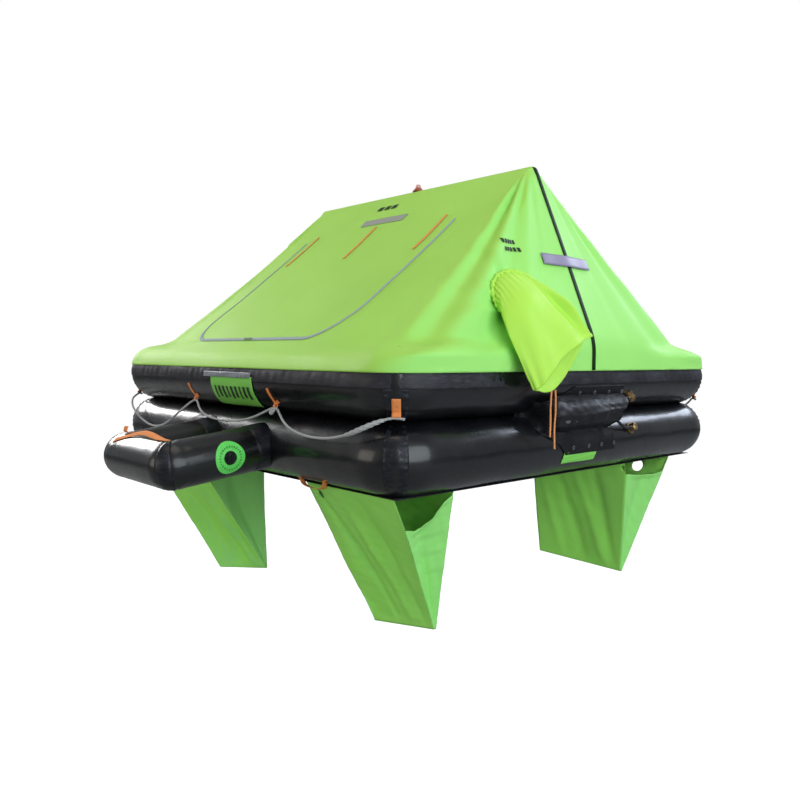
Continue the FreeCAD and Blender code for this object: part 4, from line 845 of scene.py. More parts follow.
closed = canopy_grid.copy()
ridge_line = np.zeros_like(closed[-1])
ridge_line[:, 0] = np.clip(closed[-1][:, 0], -RIDGE_HALF + 0.014, RIDGE_HALF - 0.014)
ridge_line[:, 2] = levels[-1] + 0.0004
closed = np.concatenate([closed, ridge_line[None]], axis=0)
canopy = grid_piece("canopy_cover", closed, False, True, outside_port)
settle(canopy, canopy_cloth, "canopy_cloth", "canopy_boarding_side", "canopy_far_side", thickness=0.0014)
canopy_tree = BVHTree.FromPolygons(
    [v.co for v in canopy.data.vertices], [tuple(p.vertices) for p in canopy.data.polygons])
print("canopy", len(canopy.data.polygons), "quads")

# %% [markdown]
# ## Strips and marks on the canopy
# Zip, ties, tapes and reflectors are sewn or glued to the cover, so each is a narrow grid laid on it:
# a point is sent against the cloth along the strip's facing and stops just above it. The printed
# words of such rafts are left off. Plain bars and dots stand in their places.

# %% Laying strips on cloth
def laid_point(a, height, facing, lift):
    """Point on the cover seen along a facing: a is x on the roof and y on the gables."""
    if facing == "roof":
        start, way = Vector((a, -2.0, height)), Vector((0, 1, 0))
    elif facing == "gable":
        start, way = Vector((2.0, a, height)), Vector((-1, 0, 0))
    else:
        start, way = Vector((-2.0, a, height)), Vector((1, 0, 0))
    hit, normal, _, _ = canopy_tree.ray_cast(start, way)
    if normal.dot(way) > 0:
        normal = -normal
    return hit + normal * lift


def laid_strip(name, path, width, facing, lift=0.0026, across=4):
    """Strip of a width along a path of (a, height) points on the cover."""
    path = np.array(path, dtype=float)
    way = np.gradient(path, axis=0)
    way /= np.linalg.norm(way, axis=1, keepdims=True)
    side = np.column_stack([-way[:, 1], way[:, 0]])
    rows = []
    for share in np.linspace(-0.5, 0.5, across):
        line = path + side * width * share
        crown = lift + 0.0006 * (1 - (2 * share) ** 2)
        rows.append([laid_point(a, height, facing, crown) for a, height in line])
    return grid_piece(name, np.array(rows))


def straight_path(start, end, count=40):
    """Evenly spaced places from start to end, as (across, height)."""
    return np.linspace(np.array(start, dtype=float), np.array(end, dtype=float), count)


# %% Zip, ties and strips of the boarding side
DOOR_HALF, DOOR_TOP, DOOR_BOTTOM, DOOR_CORNER = 0.530, 1.045, 0.533, 0.150
turns = np.linspace(0, math.pi / 2, 14)[1:-1]
left_turn = np.column_stack([-DOOR_HALF + DOOR_CORNER * (1 - np.cos(turns)),
                             DOOR_BOTTOM + DOOR_CORNER * (1 - np.sin(turns))])
zip_path = np.vstack([
    straight_path((-DOOR_HALF, DOOR_TOP), (-DOOR_HALF, DOOR_BOTTOM + DOOR_CORNER), 50), left_turn,
    straight_path((-DOOR_HALF + DOOR_CORNER, DOOR_BOTTOM), (DOOR_HALF - DOOR_CORNER, DOOR_BOTTOM), 60),
    (left_turn * [-1, 1])[::-1],
    straight_path((DOOR_HALF, DOOR_BOTTOM + DOOR_CORNER), (DOOR_HALF, DOOR_TOP), 50)])
door_zip = laid_strip("door_zip_tape", zip_path, 0.0105, "roof")
settle(door_zip, zip_tape, "trim_grey", "door_zip", thickness=0.0008)
TIE_FOOT, TIE_TOP = 0.908, 1.074
STRIP_HALF, STRIP_HEIGHT = 0.150, 1.109
for name, place in (("left", -0.460), ("middle", 0.0), ("right", 0.460)):
    node = "door_tie_" + name
    tie_path = straight_path((place, TIE_FOOT), (place, TIE_TOP), 14)
    tie_path[:, 0] += 0.002 * np.sin(np.linspace(0, 5, 14) + place)
    tie = laid_strip(node + "_webbing", tie_path, 0.0125, "roof", 0.0036)
    settle(tie, orange_webbing, "webbing_orange", node, thickness=0.0012)
strip_path = straight_path((-STRIP_HALF, STRIP_HEIGHT), (STRIP_HALF, STRIP_HEIGHT), 30)
strip = laid_strip("capacity_strip_film", strip_path, 0.034, "roof", 0.0030, 6)
settle(strip, grey_strip, "trim_grey", "capacity_strip", thickness=0.0006)
print("zip path", len(zip_path), "points")

# %% Marks in plain shapes
MARK_LIFT = 0.0030
ROOF_MARK_HEIGHT, ROOF_MARK_HALF = 1.192, 0.017
PORT_MARK_START, PORT_MARK_STEP, PORT_MARK_HALF = -0.340, 0.0175, 0.006
marks = []
for index, place in enumerate((-0.125, -0.075, -0.025)):
    mark_path = straight_path((place - ROOF_MARK_HALF, ROOF_MARK_HEIGHT),
                              (place + ROOF_MARK_HALF, ROOF_MARK_HEIGHT), 6)
    marks.append(laid_strip("roof_mark_%d" % index, mark_path, 0.022, "roof", MARK_LIFT))
for row, height in enumerate((0.917, 0.886)):
    for column in range(5):
        middle = PORT_MARK_START + PORT_MARK_STEP * column + 0.008 * row
        mark_path = straight_path((middle - PORT_MARK_HALF, height), (middle + PORT_MARK_HALF, height), 4)
        marks.append(laid_strip("port_mark_%d_%d" % (row, column), mark_path, 0.017, "gable", MARK_LIFT))
for mark in marks:
    settle(mark, print_black, "seam_dark")
print("marks", len(marks))

# %% Seam tapes and reflectors of the gables
seam_heights = np.concatenate([np.linspace(0.420, 1.262, 70), [1.268]])
for end, facing in (("front", "gable"), ("rear", "rear")):
    seam_path = np.column_stack([0.0015 * np.sin(seam_heights * 9), seam_heights])
    tape = laid_strip("gable_tape_" + end, seam_path, 0.023, facing, 0.0026, 6)
    settle(tape, seam_tape, "seam_dark", "gable_seam_tape_" + end, thickness=0.0010)
    band_path = straight_path((-0.150, 0.860), (0.154, 0.856), 30)
    film = laid_strip("gable_film_" + end, band_path, 0.046, facing, 0.0075, 6)
    settle(film, reflector, "retro_film", "gable_reflector_" + end, thickness=0.0006)
print("gable tapes and films laid")

# %% [markdown]
# ## Lookout sleeve
# The sleeve is a cloth tube sewn round the port. It hangs by its own weight: the cloth from the
# ring's top falls over the cloth from its foot, so the tube lies nearly flat and its mouth is a long
# slanted oval. Each point runs from the ring to the mouth, pushed outward on the way. One deep
# valley divides the front layer into two lobes, and small pleats fade out below the ring.

# %% Sleeve
def smooth_between(values, stations, shares):
    """Values at stations, eased between them by a natural spline."""
    values = np.asarray(values, dtype=float)
    stations = np.asarray(stations, dtype=float)
    slopes = np.gradient(values, stations, axis=0)
    place = np.clip(np.searchsorted(stations, shares) - 1, 0, len(stations) - 2)
    gap = stations[place + 1] - stations[place]
    t = (shares - stations[place]) / gap
    shape = (slice(None),) + (None,) * (values.ndim - 1)
    t, gap = t[shape], gap[shape]
    first, second = values[place], values[place + 1]
    return ((2 * t ** 3 - 3 * t ** 2 + 1) * first + (t ** 3 - 2 * t ** 2 + t) * gap * slopes[place]
            + (3 * t ** 2 - 2 * t ** 3) * second + (t ** 3 - t ** 2) * gap * slopes[place + 1])


slope = (gable_half(0.60) - gable_half(0.70)) / 0.10
down_slope = np.array([slope, 0, -1.0]) / math.hypot(slope, 1.0)
across_y = np.array([0, 1.0, 0])
MOUTH_MIDDLE = np.array([1.128, -0.322, 0.454])
MOUTH_REACH = np.array([0.0, 0.168, 0.100])
rows, columns = 72, 180
shares = np.linspace(0, 1, rows)[:, None]
around = np.linspace(0, 2 * math.pi, columns, endpoint=False)[None, :]
behind, sideways = np.cos(around)[..., None], np.sin(around)[..., None]
port_middle = np.array([gable_half(PORT_HEIGHT), PORT_SIDE, PORT_HEIGHT])
root = port_middle + PORT_RADIUS * (behind * down_slope + sideways * across_y)
root[..., 0] = gable_x(root[..., 1], root[..., 2]) + 0.004
drape = np.array([0.0, 0.40, -0.92])
blunt = np.sign(sideways) * np.abs(sideways) ** 0.6
mouth_sag = (0.078 - 0.026 * blunt) * np.clip(behind, 0, 1) - 0.030 * np.clip(-behind, 0, 1)
foot = (MOUTH_MIDDLE + blunt * MOUTH_REACH - behind * np.array([0.026, 0, 0])
        + drape * (1 - blunt ** 2) * mouth_sag)
flow = (shares * (1 - 0.25 * np.sin(math.pi * shares)))[..., None]
sleeve_grid = root * (1 - flow) + foot * flow
over = (1 - np.cos(around)) / 2
sleeve_grid[..., 0] += (0.012 + 0.050 * over) * np.sin(math.pi * shares ** 0.75) ** 0.9
valley = 3.02 - 0.55 * shares
lobe = 3.95 - 0.20 * shares
right_lobe = 2.05 + 0.10 * shares
shape = (-0.040 * np.exp(-((around - valley) / 0.26) ** 2) + 0.024 * np.exp(-((around - lobe) / 0.42) ** 2)
         + 0.016 * np.exp(-((around - right_lobe) / 0.34) ** 2))
left_side = np.clip(-np.sin(around), 0, 1)
sleeve_grid[..., 1] -= 0.050 * left_side * np.sin(math.pi * shares ** 0.8)
sleeve_grid[..., 0] += shape * np.sin(math.pi * np.clip(shares * 0.86 + 0.06, 0, 1))
pleats = 0.0038 * np.sin(30 * around + 2 * np.sin(3 * around)) * np.exp(-shares / 0.10)
cuffs = 0.0022 * np.sin(13 * around + 1.0) * np.clip((shares - 0.6) / 0.4, 0, 1)
normals = grid_normals(sleeve_grid, False, True)
slow = 0.0045 * waves(sleeve_grid, 0.12, 81) * np.clip(shares / 0.2, 0, 1)
sleeve_grid = sleeve_grid + normals * (pleats + cuffs + slow)[..., None]
hem = (np.abs(shares - 0.95) < 0.008) * 0.0016
sleeve_grid = sleeve_grid - normals * hem[..., None]
wall = FOOT_HALF - np.maximum(sleeve_grid[..., 2] - KINK, 0) * slope + 0.006
sleeve_grid[..., 0] = np.maximum(sleeve_grid[..., 0], np.where(shares > 0.06, wall, sleeve_grid[..., 0]))
sleeve = grid_piece("lookout_sleeve_cloth", sleeve_grid, False, True)
settle(sleeve, sleeve_cloth, "sleeve_cloth", "lookout_sleeve", thickness=0.0014)
print("sleeve mouth at", sleeve_grid[-1].mean(axis=0).round(3))

# %% Gathered ring at the sleeve's root
ring_angles = np.linspace(0, 2 * math.pi, 240, endpoint=False)
tube_angles = np.linspace(0, 2 * math.pi, 12, endpoint=False)
gather = 0.0100 + 0.0026 * np.sin(ring_angles * 42) + 0.0012 * np.sin(ring_angles * 17 + 1)
ring_out = np.cos(ring_angles)[:, None] * down_slope + np.sin(ring_angles)[:, None] * across_y
ring_face = np.cross(down_slope, across_y)
ring_face = ring_face * np.sign(ring_face[0])
wobble = 1 + 0.02 * np.sin(3 * ring_angles + 0.5)
ring_middle = port_middle + ring_out * (PORT_RADIUS * wobble)[:, None]
ring_middle[:, 0] = gable_x(ring_middle[:, 1], ring_middle[:, 2]) + 0.003
roll = (np.cos(tube_angles)[:, None, None] * ring_out[None]
        + 0.8 * np.sin(tube_angles)[:, None, None] * ring_face)
ring_grid = ring_middle[None] + gather[None, :, None] * roll
port_ring = grid_piece("port_gather", ring_grid, True, True)
settle(port_ring, sleeve_cloth, "sleeve_cloth")
print("port ring", len(port_ring.data.polygons), "quads")

# %% [markdown]
# ## Ballast bags
# Each bag is four walls of thin cloth between a rectangle on the hull and one seam at its foot. It
# fills with water and steadies the raft. Held dry, it hangs in long slanted folds. On its outer end
# the wall's top edge isn't sewn down: it droops and leaves the mouth, and small holes near the
# corners let air out. The walls are one grid, whose rows run from the top edge to the seam.

# %% Bag helpers
BAG_TOP = -0.0006


def open_hole(bag, place, radius):
    """Round hole in a cloth mesh: its quads go, and the edge left is drawn to a circle."""
    work = bmesh.new()
    work.from_mesh(bag.data)
    place = Vector(place)
    nearest = min(work.verts, key=lambda v: (v.co - place).length)
    place = nearest.co.copy()
    facing = nearest.normal.copy()
    gone = [face for face in work.faces if (face.calc_center_median() - place).length < radius * 0.95]
    bmesh.ops.delete(work, geom=gone, context="FACES")
    for vert in work.verts:
        away = vert.co - place
        if vert.is_boundary and away.length < radius * 1.7:
            away -= facing * away.dot(facing)
            vert.co = place + away.normalized() * radius
    work.to_mesh(bag.data)
    work.free()


def bag_ring(corners, seam, count):
    """Top and foot points round the bag: -Y wall, +X wall, +Y wall, -X wall."""
    run = np.linspace(0, 1, count, endpoint=False)[:, None]
    left, right = np.array(seam[0]), np.array(seam[1])
    way = right - left
    side = np.array([-way[1], way[0], 0.0]) / math.hypot(way[0], way[1]) * 0.006
    top = [corners[i] * (1 - run) + corners[(i + 1) % 4] * run for i in range(4)]
    foot = [left + way * run - side, right + side * (2 * run - 1),
            right - way * run + side, left + side * (1 - 2 * run)]
    return np.vstack(top), np.vstack(foot)


def ballast_bag(name, node, x_range, y_range, seam, mouth, folds, seed, rows=64, count=46):
    """Hanging bag: mouth is (wall, depths along it) and folds are (wall, start, lean, width, depth)."""
    (x0, x1), (y0, y1) = x_range, y_range
    corners = [np.array((x, y, BAG_TOP)) for x, y in ((x0, y0), (x1, y0), (x1, y1), (x0, y1))]
    top, foot = bag_ring(corners, seam, count)
    walls = np.repeat(np.arange(4), count)
    along = np.tile(np.linspace(0, 1, count, endpoint=False), 4)
    down = np.linspace(0, 1, rows)[:, None]
    start = np.zeros(4 * count)
    loose = walls == mouth[0]
    start[loose] = np.interp(along[loose], np.linspace(0, 1, len(mouth[1])), mouth[1])
    drop = start[None] + (1 - start[None]) * down
    grid = top[None] * (1 - drop[..., None]) + foot[None] * drop[..., None]
    normals = grid_normals(grid, False, True)
    normals *= np.sign(np.sum(normals * (grid - grid.mean(axis=(0, 1))), axis=-1, keepdims=True))
    push = np.zeros(drop.shape)
    for wall, begin, lean, width, depth in folds:
        line = np.exp(-((along[None] - begin - lean * drop) / width) ** 2)
        fullness = np.sin(math.pi * np.clip(drop, 0, 1) ** 0.8) ** 0.7
        push += np.where(walls[None] == wall, depth * line * fullness, 0)
    ends = np.clip(np.minimum(along, 1 - along) / 0.12, 0, 1)[None]
    sag = -0.020 * np.sin(math.pi * drop) * np.sin(math.pi * along)[None]
    ripple = 0.006 * waves(grid * np.array([1, 1, 0.35]), 0.15, seed) + 0.0022 * waves(grid, 0.05, seed + 1)
    edge = np.clip(drop / 0.06, 0, 1) * np.clip((1 - drop) / 0.05, 0, 1)
    lifted = np.clip((drop - start[None]) / 0.05, 0, 1)
    push = (push + sag * 0.8 + ripple * (0.4 + 0.6 * ends)) * edge
    push += np.where(loose[None], 0.014 * (1 - lifted) * np.sin(math.pi * along)[None], 0)
    grid = grid + normals * push[..., None]
    bag = grid_piece(name, grid, False, True)
    settle(bag, bag_cloth, "bag_cloth", node, thickness=0.0014)
    return bag


# %% Four bags
slanted = [(0, 0.06, 0.42, 0.045, -0.013), (0, 0.30, 0.40, 0.055, 0.010), (0, 0.52, 0.36, 0.05, -0.012),
           (1, 0.35, 0.20, 0.12, -0.012), (2, 0.4, 0.1, 0.1, 0.01), (3, 0.5, 0.1, 0.1, -0.01)]
near_bag = ballast_bag(
    "bag_cloth_front_boarding", "ballast_bag_front_boarding", (0.445, 0.945), (-0.970, -0.700),
    ((0.560, -0.722, -0.556), (0.828, -0.665, -0.533)),
    (1, (0.215, 0.235, 0.225, 0.150, 0.060, 0.020)), slanted, 101)
open_hole(near_bag, (0.505, -0.968, -0.052), 0.018)
left_bag = ballast_bag(
    "bag_cloth_rear_boarding", "ballast_bag_rear_boarding", (-0.945, -0.445), (-0.970, -0.600),
    ((-0.540, -0.779, -0.568), (-0.377, -0.619, -0.568)), (3, (0.06, 0.15, 0.20, 0.18, 0.12)),
    [(0, 0.52, 0.30, 0.05, 0.014), (0, 0.22, 0.20, 0.10, -0.010), (0, 0.80, 0.05, 0.08, -0.008),
     (1, 0.4, 0.1, 0.15, -0.014)], 121)
open_hole(left_bag, (-0.885, -0.968, -0.052), 0.018)
far_bag = ballast_bag(
    "bag_cloth_front_far", "ballast_bag_front_far", (0.412, 0.945), (0.430, 0.800),
    ((0.356, 0.589, -0.540), (0.811, 0.624, -0.560)), (1, (0.10, 0.115, 0.135, 0.135, 0.12)),
    [(0, 0.20, 0.38, 0.06, -0.014), (0, 0.40, 0.42, 0.05, 0.010), (0, 0.62, 0.30, 0.05, -0.014),
     (0, 0.02, 0.28, 0.05, 0.008), (1, 0.5, -0.1, 0.12, -0.010)], 141)
open_hole(far_bag, (0.790, 0.800, -0.066), 0.029)
open_hole(far_bag, (0.925, 0.440, -0.030), 0.014)
rear_bag = ballast_bag(
    "bag_cloth_rear_far", "ballast_bag_rear_far", (-0.945, -0.445), (0.600, 0.970),
    ((-0.790, 0.700, -0.560), (-0.520, 0.730, -0.545)), (3, (0.12, 0.14, 0.14, 0.11, 0.06)),
    [(2, 0.20, 0.38, 0.06, -0.014), (2, 0.5, 0.3, 0.05, 0.010), (3, 0.5, -0.1, 0.12, -0.010)], 161)
open_hole(rear_bag, (-0.885, 0.968, -0.052), 0.018)
print("bags", 4)

# %% [markdown]
# ## Webbing, rope and labels
# A webbing strip is a ribbon: a path in space with a side direction at each point. The loops leave
# the tube's surface, pass round the rope and come back, so their paths come from the tube's own
# circle. The grab line is one rope through all of them, a curve through given points that sags between.

# %% Ribbon helper and places on the upper tube
def ribbon(name, path, sides, width, across=5):
    """Strip of webbing along a path, with a side direction for each of its points."""
    path = np.asarray(path, dtype=float)
    sides = np.broadcast_to(np.asarray(sides, dtype=float), path.shape)
    sides = sides / np.linalg.norm(sides, axis=1, keepdims=True)
    shares = np.linspace(-0.5, 0.5, across)
    grid = path[None] + shares[:, None, None] * width * sides[None]
    return grid_piece(name, grid)


def tube_point(base, outward, level, height, lift):
    """Point on a tube's surface at a height, below or above its centre line."""
    rise = height - level
    flat = math.sqrt(max(TUBE_RADIUS ** 2 - rise ** 2, 1e-6))
    away = np.array([outward[0] * flat, outward[1] * flat, rise])
    place = np.array([base[0], base[1], level]) + away
    return place + away / TUBE_RADIUS * lift


def eye_of(base, outward):
    """Middle of the rope where it passes a loop."""
    return np.array([base[0] + outward[0] * EYE_OUT, base[1] + outward[1] * EYE_OUT, EYE_HEIGHT])


EYE_HEIGHT, EYE_OUT = 0.2788, 0.0978
LOOP_TOP, LOOP_FOOT = 0.3456, 0.2960
MIDDLE_LOOPS = (-0.285, 0.339)
CORNER_OUT = CORNER_BEND + 0.0024
print("rope passes", round(EYE_OUT, 3), "m outside the tube's centre line")

# %% Rope loops
def wrap_round(eye, outward, way, start, finish, radius=0.0072, count=9):
    """Arc of webbing round the rope, seen along it; angles from outward to up."""
    out = np.array([outward[0], outward[1], 0.0])
    angles = np.linspace(start, finish, count)
    shift = np.linspace(0, way, count)
    along = np.array([-outward[1], outward[0], 0.0])
    return [eye + radius * (math.cos(a) * out + math.sin(a) * np.array([0, 0, 1.0])) + along * s
            for a, s in zip(angles, shift)]


def folded_loop(name, base, outward, spread, width, top):
    """Webbing from the tube down round the rope and back; spread sets its two ends apart."""
    along = np.array([-outward[1], outward[0], 0.0])
    eye = eye_of(base, outward)
    down = [tube_point(base, outward, UPPER_LEVEL, height, 0.0022) - along * spread * (0.35 + 0.65 * share)
            for share, height in zip(np.linspace(1, 0, 9), np.linspace(top, LOOP_FOOT, 9))]
    turn = wrap_round(eye - along * spread * 0.15, outward, spread * 0.3,
                      math.radians(140), math.radians(-150))
    back_heights = np.linspace(0.2950, 0.2995 if spread else 0.304, 6)
    back = [tube_point(base, outward, UPPER_LEVEL, height, 0.0040) + along * spread * (0.3 + 0.9 * share)
            for share, height in zip(np.linspace(0, 1, 6), back_heights)]
    path = np.array(down + turn + back)
    for _ in range(2):
        path[1:-1] = (path[:-2] + 2 * path[1:-1] + path[2:]) / 4
    way = np.gradient(path, axis=0)
    face = np.cross(way, along)
    sides = np.cross(face, way)
    sides *= np.sign(np.sum(sides * along, axis=1, keepdims=True))
    piece = ribbon(name, path, sides, width)
    settle(piece, orange_webbing, "webbing_orange", thickness=0.0016)
    return piece


loops_near, loops_far = [], []
for sign, group in ((-1, loops_near), (1, loops_far)):
    side = "boarding" if sign < 0 else "far"
    for index, place in enumerate(MIDDLE_LOOPS):
        base, outward = (-sign * place, sign * LINE_Y), (0.0, float(sign))
        group.append(folded_loop("rope_loop_%s_%d" % (side, index), base, outward, 0.022, 0.015, LOOP_TOP))
    for turn in (-1, 1):
        diagonal = math.sqrt(0.5)
        outward = (turn * diagonal, sign * diagonal)
        base = (turn * (LINE_X - CORNER_BEND) + outward[0] * CORNER_OUT,
                sign * (LINE_Y - CORNER_BEND) + outward[1] * CORNER_OUT)
        group.append(folded_loop("rope_loop_%s_corner_%s" % (side, "left" if turn < 0 else "right"),
                                 base, outward, 0.0, 0.030, LOOP_TOP - 0.010))
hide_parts("rope_loops_boarding")
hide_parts("rope_loops_far")
print("loops", len(loops_near) + len(loops_far))

# %% Grab lines
LINE_POINTS = [
    (-0.986, -0.972, 0.268), (-0.966, -0.991, 0.2735), (-0.942, -1.017, 0.268), (-0.912, -1.055, 0.250),
    (-0.862, -1.077, 0.216), (-0.798, -1.080, 0.180), (-0.720, -1.078, 0.149), (-0.630, -1.077, 0.134),
    (-0.540, -1.078, 0.143), (-0.460, -1.080, 0.169), (-0.395, -1.078, 0.203), (-0.350, -1.064, 0.234),
    (-0.322, -1.050, 0.257), (-0.285, -1.037, 0.277), (-0.243, -1.050, 0.258), (-0.200, -1.065, 0.237),
    (-0.130, -1.079, 0.217), (-0.040, -1.083, 0.207), (0.060, -1.083, 0.206), (0.160, -1.081, 0.213),
    (0.235, -1.072, 0.230), (0.295, -1.053, 0.257), (0.339, -1.037, 0.277), (0.382, -1.050, 0.258),
    (0.425, -1.066, 0.234), (0.490, -1.079, 0.207), (0.575, -1.080, 0.190), (0.665, -1.080, 0.187),
    (0.745, -1.081, 0.195), (0.812, -1.080, 0.209), (0.868, -1.076, 0.228), (0.912, -1.055, 0.250),
    (0.942, -1.017, 0.268), (0.966, -0.991, 0.2735), (0.986, -0.972, 0.268)]


def rope_curve(name, points, diameter):
    """Smooth round cord through given points."""
    data = bpy.data.curves.new(name, "CURVE")
    data.dimensions = "3D"
    data.bevel_depth = diameter / 2
    data.bevel_resolution = 5
    spline = data.splines.new("NURBS")
    spline.points.add(len(points) - 1)
    for spot, (x, y, z) in zip(spline.points, points):
        spot.co = (x, y, z, 1)
    spline.order_u = 3
    spline.use_endpoint_u = True
    spline.resolution_u = 8
    piece = bpy.data.objects.new(name, data)
    bpy.context.collection.objects.link(piece)
    return piece


grab_lines = []
for side, sign in (("boarding", 1), ("far", -1)):
    points = [(sign * x, sign * y, z) for x, y, z in LINE_POINTS]
    line = rope_curve("grab_line_rope_" + side, points, 0.009)
    settle(line, white_rope, "rope_white", "grab_line_" + side)
    grab_lines.append(line)
print("grab lines", len(grab_lines))

# %% Splice and hitch of the grab line
def rope_bulge(name, points, radius, strands, turns, rows=60, around=14):
    """Thickened, twisted length over a rope: a splice or a whipping."""
    points = np.asarray(points, dtype=float)
    place = np.linspace(0, 1, rows)
    given = np.linspace(0, 1, len(points))
    line = smooth_between(points, given, place)
    way = np.gradient(line, axis=0)
    way /= np.linalg.norm(way, axis=1, keepdims=True)
    first = np.cross(way, [0, 0, 1.0])
    first /= np.linalg.norm(first, axis=1, keepdims=True)
    second = np.cross(way, first)
    angles = np.linspace(0, 2 * math.pi, around, endpoint=False)
    taper = 0.55 + 0.45 * np.sin(math.pi * np.clip(place * 1.04 - 0.02, 0, 1)) ** 0.5
    lay = 1 + 0.16 * np.cos(strands * angles[None, :] - 2 * math.pi * turns * place[:, None])
    reach = radius * taper[:, None] * lay
    grid = line[:, None] + reach[..., None] * (
        np.cos(angles)[None, :, None] * first[:, None] + np.sin(angles)[None, :, None] * second[:, None])
    piece = grid_piece(name, grid, False, True)
    settle(piece, white_rope, "rope_white")
    return piece


def route_points(points):
    """Points along a cord's own spline, read from a curve without thickness."""
    bare = rope_curve("bare_route", points, 0.0)
    mesh = bpy.data.meshes.new_from_object(bare)
    route = np.array([tuple(vertex.co) for vertex in mesh.vertices])
    data = bare.data
    bpy.data.objects.remove(bare)
    bpy.data.curves.remove(data)
    bpy.data.meshes.remove(mesh)
    return route


route = route_points(LINE_POINTS)
spliced = route[np.argmin(np.linalg.norm(route - LINE_POINTS[29], axis=1)):
                np.argmin(np.linalg.norm(route - LINE_POINTS[32], axis=1)) + 1]
rope_bulge("grab_line_splice", spliced, 0.0085, 3, 7)
hitch = [(0.334, -1.044, 0.270), (0.331, -1.054, 0.262), (0.335, -1.058, 0.252), (0.343, -1.056, 0.253),
         (0.348, -1.050, 0.263), (0.344, -1.043, 0.270), (0.337, -1.046, 0.266), (0.338, -1.056, 0.255)]
rope_bulge("grab_line_hitch", hitch, 0.0052, 2, 6, rows=80, around=10)
print("splice and hitch made")

# %% Boarding label, its clear tape and the pouch's tab
def tube_sheet(name, side, level, start, end, low, high, lift, columns=50, rows=22, swell=None):
    """Sheet laid on a straight run of a tube between two heights; swell lifts it from the rubber."""
    grid = np.empty((rows, columns, 3))
    for r, height in enumerate(np.linspace(high, low, rows)):
        rise = np.clip((height - level) / TUBE_RADIUS, -1, 1)
        flat = math.sqrt(1 - rise ** 2)
        for c, a in enumerate(np.linspace(start, end, columns)):
            swelling = swell(a, height) if swell else 0
            reach = TUBE_RADIUS + lift + swelling + 0.0005 * math.sin(31 * a + 0.7 * r)
            if side == "boarding":
                grid[r, c] = (a, -(LINE_Y + reach * flat), level + reach * rise)
            else:
                grid[r, c] = (LINE_X + reach * flat, a, level + reach * rise)
    return grid_piece(name, grid)


def label_swell(a, height):
    """The label is glued at its top and stands a little off the tube at its foot."""
    loose = min(max((0.355 - height) / 0.083, 0), 1) ** 2
    return 0.0045 * loose * (0.5 + 0.5 * math.sin(9 * a + 1.1))


boarding_label = tube_sheet("boarding_label_cloth", "boarding", UPPER_LEVEL, -0.098, 0.220, 0.272, 0.3840,
                            0.0046, swell=label_swell)
settle(boarding_label, label_cloth, "label_green", "boarding_label", thickness=0.0008)
bars = []
for index in range(9):
    middle = -0.066 + 0.0315 * index
    wide = 0.0085 if index % 3 else 0.0060
    bar = tube_sheet("label_bar_%d" % index, "boarding", UPPER_LEVEL, middle - wide, middle + wide,
                     0.300 + 0.004 * (index % 2), 0.346, 0.0064, columns=5, rows=10, swell=label_swell)
    settle(bar, print_black, "seam_dark")
    bars.append(bar)
clear = tube_sheet("label_tape_film", "boarding", UPPER_LEVEL, -0.150, 0.216, 0.3800, 0.4000, 0.0088, rows=8)
settle(clear, clear_tape, "tape_clear", "label_tape", thickness=0.0004)
tab = tube_sheet("pouch_tab_cloth", "gable", LOWER_LEVEL, -0.180, 0.043, 0.058, 0.101, 0.0018)
settle(tab, label_cloth, "label_green", "pouch_label", thickness=0.0008)
print("labels", 4 + len(bars))

# %% Draw cords of the sleeve
DRAW_CORDS = {
    "left": ([(1.094, -0.345, 0.3515), (1.092, -0.347, 0.296),
              (1.096, -0.350, 0.238), (1.093, -0.348, 0.180)], 0.172),
    "right": ([(1.096, -0.325, 0.3515), (1.099, -0.322, 0.282),
               (1.094, -0.326, 0.208), (1.097, -0.324, 0.134)], 0.218)}
for side, (points, length) in DRAW_CORDS.items():
    line = rope_curve("draw_cord_" + side, points, 0.007)
    settle(line, orange_cord, "cord_orange", "sleeve_draw_cord_" + side)
print("draw cords", len(DRAW_CORDS))

# %% Righting loop under the boarding side
loop_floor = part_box("righting_loop")[0][2]
turn = np.linspace(math.pi * 0.98, 2.02 * math.pi, 24)
loop_path = np.column_stack([
    0.530 + 0.066 * np.cos(turn) - 0.012 * np.sin(turn) ** 2, np.full(24, -0.9995) - 0.006 * np.sin(turn),
    0.004 + 0.0175 * np.sin(turn)])
loop_path[:, 2] = np.maximum(loop_path[:, 2], loop_floor + 0.001)
loop_path = np.vstack([[(0.466, -1.012, 0.022)], loop_path, [(0.612, -1.010, 0.024), (0.640, -1.016, 0.031)]])
righting = ribbon("righting_loop_webbing", loop_path, (0.10, -1.0, 0.25), 0.025)
settle(righting, orange_webbing, "webbing_orange", "righting_loop", thickness=0.0018)
print("righting loop", len(loop_path), "points")

# %% [markdown]
# ## Boarding ramp
# The ramp is a U of inflated tube with mitred corners, glued to the lower hull tube at both ends, with
# a sheet of floor between its arms. It is drawn in its own frame, out along -Y from its root, and then
# tilted down. Its loops are offsets of one U, as the hull's were.

# %% Ramp frame
ramp_low, ramp_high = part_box("ramp_tube")
RAMP_RADIUS = 0.0875
RAMP_HALF = (ramp_high[0] - ramp_low[0]) / 2 - RAMP_RADIUS
RAMP_MIDDLE = (ramp_high[0] + ramp_low[0]) / 2
RAMP_ROOT = np.array([RAMP_MIDDLE, -(LINE_Y + TUBE_RADIUS), 0.117])
RAMP_RUN = -ramp_low[1] - RAMP_RADIUS - (LINE_Y + TUBE_RADIUS)
RAMP_TILT = math.atan2(0.040, RAMP_RUN)
RAMP_REACH = math.hypot(0.040, RAMP_RUN)


def in_ramp(points):
    """Points of the ramp's own frame, in the raft's."""
    points = np.asarray(points, dtype=float)
    lean, rise = math.cos(RAMP_TILT), math.sin(RAMP_TILT)
    x, y, z = points[..., 0], points[..., 1], points[..., 2]
    return RAMP_ROOT + np.stack([x, y * lean - z * rise, y * rise + z * lean], axis=-1)


